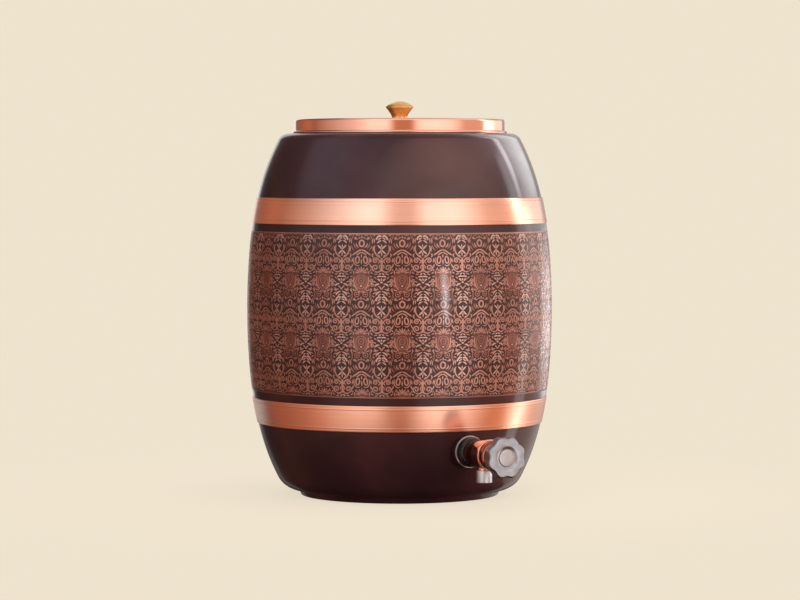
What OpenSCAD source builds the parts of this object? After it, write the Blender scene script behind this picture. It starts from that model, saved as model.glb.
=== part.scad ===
// Copper water dispenser: a spun copper barrel on a foot ring, with two plain hoops,
// a lift-off lid with a brass knob, and a screw-down tap near the foot.
// Millimetres. The origin is on the barrel's axis at floor level, +Z is up, the tap faces -Y.

/* [Barrel] */
// Widest outer diameter of the barrel
belly_d = 244.4; // [210:0.2:290]
// Outer diameter at the top end of the barrel's side
top_d = 194.6; // [170:0.2:220]
// Outer diameter at the lower end of the barrel's side
low_d = 195.8; // [170:0.2:220]
// Height from the widest place up to the top end of the side
upper_span = 136; // [112:0.5:170]
// Height from the lower end of the side up to the widest place
lower_span = 134; // [124:0.5:170]
// Share of the fourth-power term in the side's curve; more makes the barrel squarer
squareness = 0.42; // [0:0.01:0.8]
// Thickness of the copper sheet
wall_t = 1; // [0.6:0.1:2]
// Radius of the shoulder's rounded edge
shoulder_r = 9; // [5:0.5:13]
// Radius of the rounded edge above the foot
bottom_r = 19; // [12:0.5:26]
// Height over which the barrel's two halves lap at the widest place
seam_lap = 8; // [4:0.5:14]

/* [Foot] */
// Height of the foot ring
foot_h = 4.4; // [2:0.1:10]
// Width of the foot ring
foot_w = 8; // [5:0.5:12]
// How far the foot ring draws in towards the floor
foot_taper = 1.8; // [0:0.1:3]
// Rounding of the foot ring's outer lower edge
foot_edge_r = 0.8; // [0.4:0.1:1.5]
// Width of the ledge turned in under the barrel
ledge_w = 11; // [8:0.5:20]
// Width of the base plate's seat on that ledge
plate_lap = 6; // [3:0.5:7]
// Thickness of the base plate
plate_t = 1.2; // [0.8:0.1:2.5]

/* [Hoops] */
// Height between the two hoops
band_h = 139; // [120:0.5:144]
// Width of a hoop
hoop_w = 20.5; // [14:0.5:24]
// Thickness of a hoop
hoop_t = 0.7; // [0.4:0.1:1.5]
// Radius of the raised line near each edge of a hoop
line_r = 0.6; // [0.4:0.05:1]
// Distance of that line from the hoop's edge
line_inset = 2.8; // [1.5:0.1:5]

/* [Neck] */
// Radial play between the lid's side and the collar's lip
neck_play = 0.6; // [0.3:0.05:1.5]
// Thickness of the collar
collar_t = 1; // [0.6:0.1:2]
// How far the collar's lip stands out
lip_out = 0.8; // [0.4:0.1:1.5]
// Height of the collar's lip
lip_h = 2; // [1:0.1:4]
// Space between the collar and the lid's top sheet
neck_headroom = 1.2; // [0.5:0.1:3]
// Width of the collar's flange under the shoulder
collar_flange_w = 4; // [2:0.5:5]

/* [Lid] */
// Width of shoulder left bare round the lid
shoulder_ledge = 3; // [1:0.1:5]
// How far the lid's rolled bead stands out from its side
bead_out = 2; // [1:0.1:3]
// Radius of the rolled bead
bead_r = 1.2; // [0.8:0.05:2]
// Height of the lid above the shoulder
lid_h = 11.6; // [8:0.5:20]
// Thickness of the lid's sheet
lid_t = 1; // [0.6:0.1:2]
// Radius of the lid's top edge
lid_edge_r = 2; // [1.2:0.1:4]
// Diameter of the sunk panel in the lid's top
panel_d = 124; // [60:1:140]
// Depth of that panel
panel_drop = 1; // [0.4:0.1:1.5]

/* [Lid knob] */
// Widest diameter of the lid's knob
lid_knob_d = 22.4; // [18:0.2:30]
// Diameter of the knob's neck
lid_neck_d = 12.4; // [10:0.2:16]
// Height of the knob's neck
lid_neck_h = 3; // [2:0.1:6]
// Height of the flare from the neck to the widest place
lid_flare_h = 7.4; // [5:0.1:12]
// Height of the knob's domed top
lid_dome_h = 5; // [3:0.1:8]
// Diameter of the screw that holds the knob
lid_screw_d = 4; // [3:0.5:6]
// Length of that screw inside the knob
lid_screw_grip = 8; // [5:0.5:9]
// Diameter of the screw's head
lid_screw_head_d = 7.2; // [6.5:0.1:10]
// Height of the screw's head
lid_screw_head_h = 2.4; // [1.5:0.1:4]
// Diameter of the washer under the lid
lid_washer_d = 14; // [10:0.5:24]
// Thickness of the washer under the lid
lid_washer_t = 1.2; // [0.8:0.1:2]

/* [Tap mounting] */
// Height between the lower hoop and the tap's boss
boss_below_hoop = 2.8; // [1:0.1:8]
// Diameter of the boss brazed through the barrel's side
boss_d = 26; // [25.6:0.2:32]
// How far the boss's front stands clear of the barrel
boss_proud = 2; // [1:0.1:5]
// How far the boss's back stands clear of the barrel inside
boss_inner_proud = 0.6; // [0.4:0.1:3]
// Diameter of the bright washer on the boss
seat_washer_d = 25.6; // [24:0.2:32]
// Thickness of that washer
seat_washer_t = 1.2; // [0.8:0.1:2]
// Diameter of the domed rubber gasket where it meets that washer
dome_d = 23.6; // [20:0.2:25]
// Diameter of the flat on the domed gasket's front
dome_front_d = 19.4; // [18:0.2:21]
// Height of the domed gasket
dome_h = 6.3; // [4:0.1:9]
// Diameter of the flat gasket inside the barrel
gasket_d = 24.4; // [20:0.2:30]
// Thickness of the flat gasket
gasket_t = 2; // [1:0.1:4]
// Diameter of the tap's threaded shank
shank_d = 12; // [11:0.1:13.6]
// Length of shank left past the lock nut
shank_tail = 2.8; // [1:0.1:6]
// Diameter of the backing washer
backing_d = 24; // [20:0.5:30]
// Thickness of the backing washer
backing_t = 1.2; // [0.8:0.1:2.5]
// Width of the lock nut across its flats
lock_nut_af = 22; // [19:0.5:26]
// Height of the lock nut
lock_nut_h = 6; // [4:0.5:9]

/* [Tap body] */
// Diameter of the tap's body at its back
body_back_d = 18.8; // [17:0.2:21]
// Diameter of the tap's body at its front
body_front_d = 24.4; // [22:0.2:30]
// Length of the straight rim at the body's front
body_rim = 2.5; // [1:0.1:5]
// Distance of the spout's axis from the body's back
spout_t = 15.5; // [14.5:0.1:20]
// Outer diameter of the spout
spout_d = 10; // [9.8:0.1:11.6]
// Diameter of the spout's water way
spout_bore_d = 6.4; // [5:0.1:7]
// Drop of the spout's end below the tap's axis
spout_drop = 19.5; // [19:0.1:24]
// Diameter of the inlet water way through the shank
inlet_d = 7; // [6.2:0.1:8]
// Diameter of the valve chamber
chamber_d = 13; // [12.6:0.1:14]
// Length of the valve chamber
chamber_l = 16.5; // [15.5:0.1:22]
// Chamber left behind the spout's water way
chamber_margin = 1.3; // [0.6:0.1:2]
// Height of the raised valve seat
seat_h = 0.8; // [0.4:0.1:1.5]
// Width of the raised valve seat
seat_w = 1.1; // [0.6:0.1:1.4]

/* [Valve] */
// How far the valve opens
valve_lift = 3; // [1.5:0.1:4]
// Diameter of the rubber valve washer
valve_washer_d = 11; // [10.8:0.1:11.6]
// Thickness of the valve washer
valve_washer_t = 2.5; // [1.5:0.1:3]
// Diameter of the jumper's disc
jumper_d = 11.4; // [10.8:0.1:12]
// Thickness of the jumper's disc
jumper_t = 2; // [1.2:0.1:2.5]
// Diameter of the jumper's pin
jumper_pin_d = 5; // [4:0.1:5.6]
// Length of the jumper's pin
jumper_pin_l = 3.2; // [2:0.1:4]
// Diameter of the screw that holds the valve washer
washer_screw_d = 3; // [2:0.1:3.4]
// Diameter of that screw's head
washer_screw_head_d = 5.2; // [4.4:0.1:6]
// Height of that screw's head
washer_screw_head_h = 1.6; // [1:0.1:2.4]
// Length of that screw in the jumper
washer_screw_grip = 3.4; // [2:0.1:4]

/* [Bonnet] */
// Thickness of the bonnet's seal
bonnet_seal_t = 1; // [0.6:0.1:2]
// Diameter of the bonnet's threaded spigot
spigot_d = 14.8; // [14.4:0.1:15.6]
// Length of that spigot inside the tap
spigot_l = 7; // [5:0.1:8]
// Diameter of the bonnet's round collar
bonnet_d = 23.6; // [19:0.2:26]
// Height of that collar
bonnet_h = 6; // [3:0.1:7]
// Rounding of the collar's front edge
bonnet_edge_r = 2.4; // [1:0.1:2.8]
// Diameter of the bonnet's nose
nose_d = 12; // [11:0.1:14]
// Length of the bonnet's nose
nose_l = 4; // [3:0.1:9]

/* [Spindle] */
// Diameter of the spindle
spindle_d = 8; // [7.4:0.1:8.4]
// Diameter of the spindle's threaded part
spindle_thread_d = 10; // [9:0.1:11]
// Length of the spindle's threaded part
spindle_thread_l = 8; // [6.5:0.1:9]
// Diameter of the O-ring's section
o_ring_t = 1; // [0.8:0.05:1.3]

/* [Tap knob] */
// Diameter over the tap knob's lobes
tap_knob_d = 32.4; // [27:0.2:38]
// Number of lobes
lobes = 8; // [5:1:10]
// Depth of the hollows between the lobes
lobe_depth = 1.6; // [0.8:0.1:2.5]
// Radius of the hollows between the lobes
hollow_r = 8; // [5:0.5:12]
// Length of the tap knob
tap_knob_l = 11; // [9.5:0.1:16]
// Bevel of the tap knob's edges
tap_knob_bevel = 1.4; // [0.6:0.1:2]
// Space between the bonnet and the tap knob
tap_knob_gap = 2; // [1.2:0.1:5]
// Depth of the spindle's socket in the knob
socket_l = 5.5; // [4:0.1:7]
// Thickness of the web that the knob's screw bears on
web_t = 2; // [1.2:0.1:3]
// Diameter of the plain cap in the knob's face
cap_d = 13.4; // [10:0.1:16]
// Thickness of the cap
cap_t = 1.2; // [0.8:0.1:1.6]
// Depth of the cap's face below the knob's face
cap_sink = 0.4; // [0.2:0.1:0.8]
// Width of the dished ring round the cap
dish_w = 2.1; // [1:0.1:3]
// Diameter of the knob's screw
knob_screw_d = 3; // [2.5:0.1:4]
// Length of the knob's screw under its head
knob_screw_l = 10; // [7:0.1:12]
// Diameter of the screw's head
knob_screw_head_d = 5.6; // [5:0.1:7]
// Height of the screw's head
knob_screw_head_h = 1.5; // [1:0.1:1.6]

/* [Nozzle] */
// Outer diameter of the nozzle
nozzle_d = 12.4; // [12.2:0.1:15]
// Gap between the nozzle's top and the flaring body above it
nozzle_gap = 0.3; // [0.2:0.1:1]
// Height of the nozzle below the spout's end
nozzle_tip = 2.4; // [1:0.1:5]
// Bevel of the nozzle's edges
nozzle_bevel = 0.5; // [0.2:0.1:0.5]

/* [Fits] */
// Clearance left between pieces that are joined or run together
fit = 0.05; // [0.02:0.01:0.1]
// Clearance round a screw, shank or stem that passes through a hole
pass = 0.2; // [0.1:0.05:0.4]

/* [Hidden] */
$fn = 96;
eps = 0.01;
side_steps = 24;
corner_steps = 8;
flare_steps = 6;
dome_steps = 10;
belly_r = belly_d / 2;
upper_drop = (belly_d - top_d) / 2;
lower_drop = (belly_d - low_d) / 2;
end_slope = 2 * (1 - squareness) + 4 * squareness;
top_lean = atan(upper_drop / upper_span * end_slope);
low_lean = atan(lower_drop / lower_span * end_slope);
low_z = foot_h + bottom_r * (1 - sin(low_lean));
belly_z = low_z + lower_span;
top_z = belly_z + upper_span;
shoulder_z = top_z + shoulder_r * (1 - sin(top_lean));
shoulder_flat_r = top_d / 2 - shoulder_r * cos(top_lean);
foot_flat_r = low_d / 2 - bottom_r * cos(low_lean);
ledge_r = foot_flat_r - ledge_w;
plate_r = ledge_r + plate_lap;
seam_z = belly_z + seam_lap / 2;
upper_hoop_z = belly_z + band_h / 2;
lower_hoop_z = belly_z - band_h / 2 - hoop_w;
bead_edge_r = shoulder_flat_r - shoulder_ledge;
lid_r = bead_edge_r - bead_out;
lid_top_z = shoulder_z + lid_h;
panel_z = lid_top_z - panel_drop;
lip_r = lid_r - lid_t - neck_play;
collar_r = lip_r - lip_out;
collar_top_z = lid_top_z - lid_t - neck_headroom;
boss_r = boss_d / 2;
tap_z = lower_hoop_z - boss_below_hoop - boss_r;
wall_high_r = max(barrel_r(tap_z + boss_r), barrel_r(tap_z - boss_r));
wall_low_r = min(barrel_r(tap_z + boss_r), barrel_r(tap_z - boss_r)) - wall_t / cos(low_lean);
boss_front = wall_high_r + boss_proud;
boss_back = sqrt(pow(wall_low_r, 2) - pow(boss_r, 2)) - boss_inner_proud;
dome_s = boss_front + seat_washer_t;
tap_back = dome_s + dome_h;
inner_gasket_s = boss_back - gasket_t;
backing_s = inner_gasket_s - backing_t;
lock_nut_s = backing_s - lock_nut_h;
shank_s = lock_nut_s - shank_tail;
spout_s = tap_back + spout_t;
chamber_s = spout_s - spout_bore_d / 2 - chamber_margin;
seat_s = chamber_s + seat_h;
tap_front = chamber_s + chamber_l;
jumper_s = seat_s + valve_washer_t;
spindle_s = jumper_s + jumper_t + fit;
spindle_step_s = spindle_s + spindle_thread_l;
bonnet_step_s = spindle_step_s + valve_lift + 1;
bonnet_s = tap_front + bonnet_seal_t;
nose_s = bonnet_s + bonnet_h;
bonnet_front = nose_s + nose_l;
o_ring_s = bonnet_front - valve_lift - 2 * o_ring_t;
groove_r = spindle_d / 2 - o_ring_t;
tap_knob_s = bonnet_front + tap_knob_gap;
spindle_end = tap_knob_s + socket_l;
recess_s = spindle_end + web_t;
tap_knob_front = tap_knob_s + tap_knob_l;
cap_front = tap_knob_front - cap_sink;
spout_end_z = tap_z - spout_drop;
rim_s = tap_front - body_rim;
nozzle_flare = min(1, (spout_s + nozzle_d / 2 - tap_back) / (rim_s - tap_back));
nozzle_top_z = tap_z - (body_back_d + (body_front_d - body_back_d) * nozzle_flare) / 2 - nozzle_gap;
nozzle_cover = nozzle_top_z - spout_end_z;
seal_z = spout_end_z + nozzle_cover / 2;
seal_groove_r = spout_d / 2 - o_ring_t * 0.9;

// Outer radius of the barrel's side at height z
function side_t(z) = z >= belly_z ? (z - belly_z) / upper_span : (belly_z - z) / lower_span;
function side_drop(z) = z >= belly_z ? upper_drop : lower_drop;
function side_shape(t) = (1 - squareness) * pow(t, 2) + squareness * pow(t, 4);
function side_grade(t) = 2 * (1 - squareness) * t + 4 * squareness * pow(t, 3);
function barrel_r(z) = belly_r - side_drop(z) * side_shape(side_t(z));

// Lean of the side at height z, and a point of the side set in from its outer face
function side_span(z) = z >= belly_z ? upper_span : lower_span;
function side_lean(z) = atan(side_drop(z) / side_span(z) * side_grade(side_t(z)));
function side_up(z) = z >= belly_z ? 1 : -1;
function side_pt(z, inset) = [
    barrel_r(z) - inset * cos(side_lean(z)),
    z - side_up(z) * inset * sin(side_lean(z))
];
function side_path(z0, z1, n, inset) = [for (i = [0:n]) side_pt(z0 + (z1 - z0) * i / n, inset)];

// Points of the two rounded edges, from the side towards the axis
function shoulder_path(inset) = [
    for (i = [1:corner_steps])
        let (a = top_lean + (90 - top_lean) * i / corner_steps)
        [
            shoulder_flat_r + (shoulder_r - inset) * cos(a),
            shoulder_z - shoulder_r + (shoulder_r - inset) * sin(a)
        ]
];
function bottom_path(inset) = [
    for (i = [1:corner_steps])
        let (a = low_lean + (90 - low_lean) * i / corner_steps)
        [
            foot_flat_r + (bottom_r - inset) * cos(a),
            foot_h + bottom_r - (bottom_r - inset) * sin(a)
        ]
];
function reversed(p) = [for (i = [len(p) - 1:-1:0]) p[i]];

// Places children on the tap's axis: local Z runs out of the barrel and local Y is up
module on_tap_axis(s) {
    translate([0, -s, tap_z])
        rotate([90, 0, 0])
            children();
}

// A plain ring from z0 to z1
module ring(r_out, r_in, z0, z1) {
    translate([0, 0, z0])
        difference() {
            cylinder(r = r_out, h = z1 - z0);
            translate([0, 0, -1])
                cylinder(r = r_in, h = z1 - z0 + 2);
        }
}

// A hexagon nut blank with bevelled corners, bored to r_in
module hex_blank(af, h, r_in) {
    corner_r = af / 2 / cos(30);
    difference() {
        intersection() {
            cylinder(r = corner_r, h = h, $fn = 6);
            rotate_extrude()
                polygon([
                    [0, 0],
                    [corner_r - 0.8, 0],
                    [corner_r + 0.2, 0.6],
                    [corner_r + 0.2, h - 0.6],
                    [corner_r - 0.8, h],
                    [0, h]
                ]);
        }
        translate([0, 0, -1])
            cylinder(r = r_in, h = h + 2);
    }
}

// A pan-head screw with its head above z = 0 and its shank below
module pan_screw(d, l, head_d, head_h) {
    rotate_extrude()
        polygon([
            [0, -l],
            [d / 2 - 0.3, -l],
            [d / 2, -l + 0.4],
            [d / 2, 0],
            [head_d / 2, 0],
            [head_d / 2, head_h * 0.6],
            [head_d / 2 - head_h * 0.4, head_h],
            [0, head_h]
        ]);
}

// An O-ring of the given section on a seat of radius r_seat
module o_ring(r_seat, section) {
    rotate_extrude()
        translate([r_seat + section / 2, 0])
            circle(d = section, $fn = 48);
}

// The hole for the tap's boss, through the front of the barrel only
module boss_hole() {
    on_tap_axis(boss_back - 4)
        cylinder(r = boss_r + fit, h = boss_front - boss_back + 8);
}

module lower_shell() {
    color("saddlebrown")
        difference() {
            rotate_extrude($fn = 192)
                polygon(concat(
                    [[ledge_r, foot_h]],
                    reversed(bottom_path(0)),
                    side_path(low_z, seam_z, side_steps, 0),
                    reversed(side_path(low_z, seam_z, side_steps, wall_t)),
                    bottom_path(wall_t),
                    [[ledge_r, foot_h + wall_t]]
                ));
            boss_hole();
        }
}

module upper_shell() {
    lap = wall_t + fit;
    color("saddlebrown")
        rotate_extrude($fn = 192)
            polygon(concat(
                side_path(seam_z - seam_lap, seam_z, 4, lap),
                side_path(seam_z, top_z, side_steps, 0),
                shoulder_path(0),
                [[collar_r + fit, shoulder_z]],
                [[collar_r + fit, shoulder_z - wall_t]],
                reversed(shoulder_path(wall_t)),
                reversed(side_path(seam_z + wall_t, top_z, side_steps, wall_t)),
                reversed(side_path(seam_z - seam_lap, seam_z + wall_t, 4, lap + wall_t))
            ));
}

module base_plate() {
    color("peru")
        translate([0, 0, foot_h + wall_t])
            cylinder(r = plate_r, h = plate_t, $fn = 192);
}

module foot_ring() {
    color("saddlebrown")
        rotate_extrude($fn = 192)
            polygon(concat(
                [[foot_flat_r - foot_w, 0]],
                [
                    for (i = [0:4])
                        let (a = -90 + 90 * i / 4)
                        [
                            foot_flat_r - foot_taper - foot_edge_r + foot_edge_r * cos(a),
                            foot_edge_r + foot_edge_r * sin(a)
                        ]
                ],
                [[foot_flat_r, foot_h]],
                [[foot_flat_r - foot_w, foot_h]]
            ));
}

module neck_collar() {
    flange_z = shoulder_z - wall_t;
    color("peru")
        rotate_extrude($fn = 192)
            polygon([
                [collar_r - collar_t, flange_z - collar_t],
                [collar_r + collar_flange_w, flange_z - collar_t],
                [collar_r + collar_flange_w, flange_z],
                [collar_r, flange_z],
                [collar_r, collar_top_z - lip_h],
                [lip_r, collar_top_z - lip_h + lip_out],
                [lip_r, collar_top_z - lip_out / 2],
                [lip_r - lip_out / 2, collar_top_z],
                [collar_r - collar_t, collar_top_z]
            ]);
}

// A hoop that follows the side from z0 up, with a raised line near each edge
module hoop(z0) {
    z1 = z0 + hoop_w;
    rotate_extrude($fn = 192) {
        polygon(concat(side_path(z0, z1, 6, -fit - hoop_t), reversed(side_path(z0, z1, 6, -fit))));
        for (z = [z0 + line_inset, z1 - line_inset])
            intersection() {
                translate(side_pt(z, -fit - hoop_t))
                    circle(r = line_r, $fn = 24);
                translate([side_pt(z, -fit - hoop_t / 2)[0], z - line_r - 1])
                    square([line_r + hoop_t, 2 * line_r + 2]);
            }
    }
}

module lower_hoop() {
    color("#c8734e")
        hoop(lower_hoop_z);
}

module upper_hoop() {
    color("#c8734e")
        hoop(upper_hoop_z);
}

module tap_boss() {
    color("saddlebrown")
        on_tap_axis(0)
            ring(boss_r, shank_d / 2 + pass, boss_back, boss_front);
}

module lid_cover() {
    color("#d98d6a")
        difference() {
            rotate_extrude($fn = 192) {
                polygon(concat(
                    [[0, panel_z - lid_t]],
                    [[panel_d / 2 + lid_t, panel_z - lid_t]],
                    [[panel_d / 2 + lid_t + panel_drop, lid_top_z - lid_t]],
                    [
                        for (i = [0:corner_steps])
                            let (a = 90 - 90 * i / corner_steps)
                            [
                                lid_r - lid_edge_r + (lid_edge_r - lid_t) * cos(a),
                                lid_top_z - lid_edge_r + (lid_edge_r - lid_t) * sin(a)
                            ]
                    ],
                    [[lid_r - lid_t, shoulder_z]],
                    [[lid_r, shoulder_z]],
                    [
                        for (i = [0:corner_steps])
                            let (a = 90 * i / corner_steps)
                            [
                                lid_r - lid_edge_r + lid_edge_r * cos(a),
                                lid_top_z - lid_edge_r + lid_edge_r * sin(a)
                            ]
                    ],
                    [[panel_d / 2 + panel_drop, lid_top_z]],
                    [[panel_d / 2, panel_z]],
                    [[0, panel_z]]
                ));
                intersection() {
                    translate([bead_edge_r - bead_r, shoulder_z + bead_r * 0.8])
                        circle(r = bead_r, $fn = 32);
                    translate([lid_r - lid_t / 2, shoulder_z])
                        square([bead_out + lid_t, 3 * bead_r]);
                }
            }
            translate([0, 0, panel_z - lid_t - 1])
                cylinder(r = lid_screw_d / 2 + pass, h = lid_t + 2);
        }
}

module lid_knob() {
    flare_z = panel_z + lid_neck_h;
    wide_z = flare_z + lid_flare_h;
    color("#d9883a")
        difference() {
            rotate_extrude()
                polygon(concat(
                    [[0, panel_z], [lid_neck_d / 2, panel_z]],
                    [
                        for (i = [0:flare_steps])
                            let (u = i / flare_steps)
                            [
                                lid_neck_d / 2 + (lid_knob_d - lid_neck_d) / 2 * pow(u, 1.3),
                                flare_z + lid_flare_h * u
                            ]
                    ],
                    [
                        for (i = [1:dome_steps])
                            let (a = 90 * i / dome_steps)
                            [lid_knob_d / 2 * cos(a), wide_z + lid_dome_h * sin(a)]
                    ]
                ));
            translate([0, 0, panel_z - 1])
                cylinder(r = lid_screw_d / 2 + fit, h = lid_screw_grip + 2);
        }
}

module lid_washer() {
    z1 = panel_z - lid_t;
    color("goldenrod")
        ring(lid_washer_d / 2, lid_screw_d / 2 + pass, z1 - lid_washer_t, z1);
}

module lid_screw() {
    color("goldenrod")
        translate([0, 0, panel_z - lid_t - lid_washer_t])
            mirror([0, 0, 1])
                pan_screw(lid_screw_d, lid_screw_grip + lid_t + lid_washer_t, lid_screw_head_d, lid_screw_head_h);
}

module seat_washer() {
    color("silver")
        on_tap_axis(0)
            ring(seat_washer_d / 2, shank_d / 2 + pass, boss_front, dome_s);
}

module outer_gasket() {
    swell = (dome_d - dome_front_d) / 2;
    color("#181516")
        on_tap_axis(0)
            difference() {
                rotate_extrude()
                    polygon(concat(
                        [[0, dome_s]],
                        [
                            for (i = [0:dome_steps])
                                let (a = 90 * i / dome_steps)
                                [dome_front_d / 2 + swell * cos(a), dome_s + dome_h * sin(a)]
                        ],
                        [[0, tap_back]]
                    ));
                translate([0, 0, dome_s - 1])
                    cylinder(r = shank_d / 2 + pass, h = dome_h + 2);
            }
}

module tap_body() {
    color("#b5715a")
        difference() {
            union() {
                on_tap_axis(0)
                    rotate_extrude()
                        polygon([
                            [0, shank_s],
                            [shank_d / 2 - 0.6, shank_s],
                            [shank_d / 2, shank_s + 0.6],
                            [shank_d / 2, tap_back],
                            [body_back_d / 2, tap_back],
                            [body_front_d / 2, rim_s],
                            [body_front_d / 2, tap_front - 0.6],
                            [body_front_d / 2 - 0.6, tap_front],
                            [0, tap_front]
                        ]);
                translate([0, -spout_s, spout_end_z])
                    cylinder(r = spout_d / 2, h = spout_drop);
            }
            on_tap_axis(shank_s - 1)
                cylinder(r = inlet_d / 2, h = chamber_s - shank_s + 2);
            on_tap_axis(0)
                ring(chamber_d / 2, inlet_d / 2 + seat_w, chamber_s, tap_front + 1);
            on_tap_axis(seat_s)
                cylinder(r = chamber_d / 2 - eps, h = tap_front - seat_s + 1);
            on_tap_axis(tap_front - spigot_l)
                cylinder(r = spigot_d / 2 + fit, h = spigot_l + 1);
            translate([0, -spout_s, spout_end_z - 1])
                cylinder(r = spout_bore_d / 2, h = spout_drop + 1);
            translate([0, -spout_s, 0])
                ring(spout_d, seal_groove_r, seal_z - o_ring_t * 0.6, seal_z + o_ring_t * 0.6);
        }
}

module inner_gasket() {
    color("dimgray")
        on_tap_axis(0)
            ring(gasket_d / 2, shank_d / 2 + pass, inner_gasket_s, boss_back);
}

module backing_washer() {
    color("goldenrod")
        on_tap_axis(0)
            ring(backing_d / 2, shank_d / 2 + pass, backing_s, inner_gasket_s);
}

module lock_nut() {
    color("goldenrod")
        on_tap_axis(lock_nut_s)
            hex_blank(lock_nut_af, lock_nut_h, shank_d / 2 + fit);
}

module bonnet_seal() {
    color("firebrick")
        on_tap_axis(0)
            ring(bonnet_d / 2 - 1, spigot_d / 2 + fit, tap_front, bonnet_s);
}

module bonnet() {
    color("#c08a62")
        on_tap_axis(0)
            difference() {
                union() {
                    translate([0, 0, tap_front - spigot_l])
                        cylinder(r = spigot_d / 2, h = spigot_l + bonnet_seal_t);
                    rotate_extrude()
                        polygon(concat(
                            [[0, bonnet_s]],
                            [[bonnet_d / 2 - 0.4, bonnet_s]],
                            [[bonnet_d / 2, bonnet_s + 0.4]],
                            [
                                for (i = [0:corner_steps])
                                    let (a = 90 * i / corner_steps)
                                    [
                                        bonnet_d / 2 - bonnet_edge_r + bonnet_edge_r * cos(a),
                                        nose_s - bonnet_edge_r + bonnet_edge_r * sin(a)
                                    ]
                            ],
                            [[0, nose_s]]
                        ));
                    translate([0, 0, nose_s])
                        cylinder(r = nose_d / 2, h = nose_l);
                }
                translate([0, 0, tap_front - spigot_l - 1])
                    cylinder(r = spindle_d / 2 + fit, h = bonnet_front - tap_front + spigot_l + 2);
                translate([0, 0, tap_front - spigot_l - 1])
                    cylinder(r = spindle_thread_d / 2 + fit, h = bonnet_step_s - tap_front + spigot_l + 1);
            }
}

module spindle() {
    color("#c9a066")
        on_tap_axis(0)
            difference() {
                rotate_extrude()
                    polygon([
                        [0, spindle_s],
                        [spindle_thread_d / 2 - 0.5, spindle_s],
                        [spindle_thread_d / 2, spindle_s + 0.5],
                        [spindle_thread_d / 2, spindle_step_s - 0.5],
                        [spindle_thread_d / 2 - 0.5, spindle_step_s],
                        [spindle_d / 2, spindle_step_s],
                        [spindle_d / 2, o_ring_s - o_ring_t * 0.6],
                        [groove_r, o_ring_s - o_ring_t * 0.6],
                        [groove_r, o_ring_s + o_ring_t * 0.6],
                        [spindle_d / 2, o_ring_s + o_ring_t * 0.6],
                        [spindle_d / 2, spindle_end],
                        [0, spindle_end]
                    ]);
                translate([0, 0, spindle_s - 1])
                    cylinder(r = jumper_pin_d / 2 + fit, h = jumper_pin_l + 1.5);
                translate([0, 0, recess_s - knob_screw_l - 0.5])
                    cylinder(r = knob_screw_d / 2 + fit, h = knob_screw_l);
            }
}

module spindle_o_ring() {
    color("dimgray")
        on_tap_axis(o_ring_s)
            o_ring(groove_r + fit / 2, o_ring_t);
}

module jumper() {
    color("#c9a066")
        on_tap_axis(0)
            difference() {
                union() {
                    translate([0, 0, jumper_s])
                        cylinder(r = jumper_d / 2, h = jumper_t);
                    translate([0, 0, jumper_s])
                        cylinder(r = jumper_pin_d / 2, h = jumper_t + jumper_pin_l);
                }
                translate([0, 0, jumper_s - 1])
                    cylinder(r = washer_screw_d / 2 + fit, h = washer_screw_grip + 1.4);
            }
}

module valve_washer() {
    color("dimgray")
        on_tap_axis(0)
            ring(valve_washer_d / 2, washer_screw_d / 2 + pass, seat_s, jumper_s);
}

module washer_screw() {
    color("goldenrod")
        on_tap_axis(seat_s)
            mirror([0, 0, 1])
                pan_screw(
                    washer_screw_d, valve_washer_t + washer_screw_grip, washer_screw_head_d, washer_screw_head_h
                );
}

module tap_knob() {
    knob_r = tap_knob_d / 2;
    b = tap_knob_bevel;
    color("silver")
        on_tap_axis(0)
            difference() {
                intersection() {
                    translate([0, 0, tap_knob_s])
                        linear_extrude(tap_knob_l)
                            difference() {
                                circle(r = knob_r);
                                for (i = [0:lobes - 1])
                                    rotate(360 / lobes * i)
                                        translate([knob_r - lobe_depth + hollow_r, 0])
                                            circle(r = hollow_r);
                            }
                    rotate_extrude()
                        polygon([
                            [0, tap_knob_s],
                            [knob_r - lobe_depth - b, tap_knob_s],
                            [knob_r + 0.1, tap_knob_s + b + lobe_depth],
                            [knob_r + 0.1, tap_knob_front - b],
                            [knob_r - b, tap_knob_front - b * 0.3],
                            [knob_r - b * 2.2, tap_knob_front],
                            [0, tap_knob_front]
                        ]);
                }
                translate([0, 0, tap_knob_s - 1])
                    cylinder(r = spindle_d / 2 + fit, h = socket_l + 1);
                translate([0, 0, tap_knob_s])
                    cylinder(r = knob_screw_d / 2 + pass, h = tap_knob_l);
                translate([0, 0, recess_s])
                    cylinder(r = cap_d / 2 + fit, h = tap_knob_l);
                translate([0, 0, cap_front - cap_sink])
                    rotate_extrude()
                        polygon([
                            [0, 0],
                            [cap_d / 2 + fit, 0],
                            [cap_d / 2 + fit + dish_w, 2 * cap_sink],
                            [cap_d / 2 + fit + dish_w, 2 * cap_sink + 1],
                            [0, 2 * cap_sink + 1]
                        ]);
            }
}

module knob_screw() {
    color("goldenrod")
        on_tap_axis(recess_s)
            pan_screw(knob_screw_d, knob_screw_l, knob_screw_head_d, knob_screw_head_h);
}

module knob_cap() {
    color("gainsboro")
        on_tap_axis(0)
            difference() {
                rotate_extrude()
                    polygon([
                        [0, recess_s],
                        [cap_d / 2, recess_s],
                        [cap_d / 2, cap_front - 0.3],
                        [cap_d / 2 - 0.3, cap_front],
                        [0, cap_front]
                    ]);
                translate([0, 0, recess_s - 1])
                    cylinder(r = cap_d / 2 - cap_t, h = cap_front - cap_t - recess_s + 1);
            }
}

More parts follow.
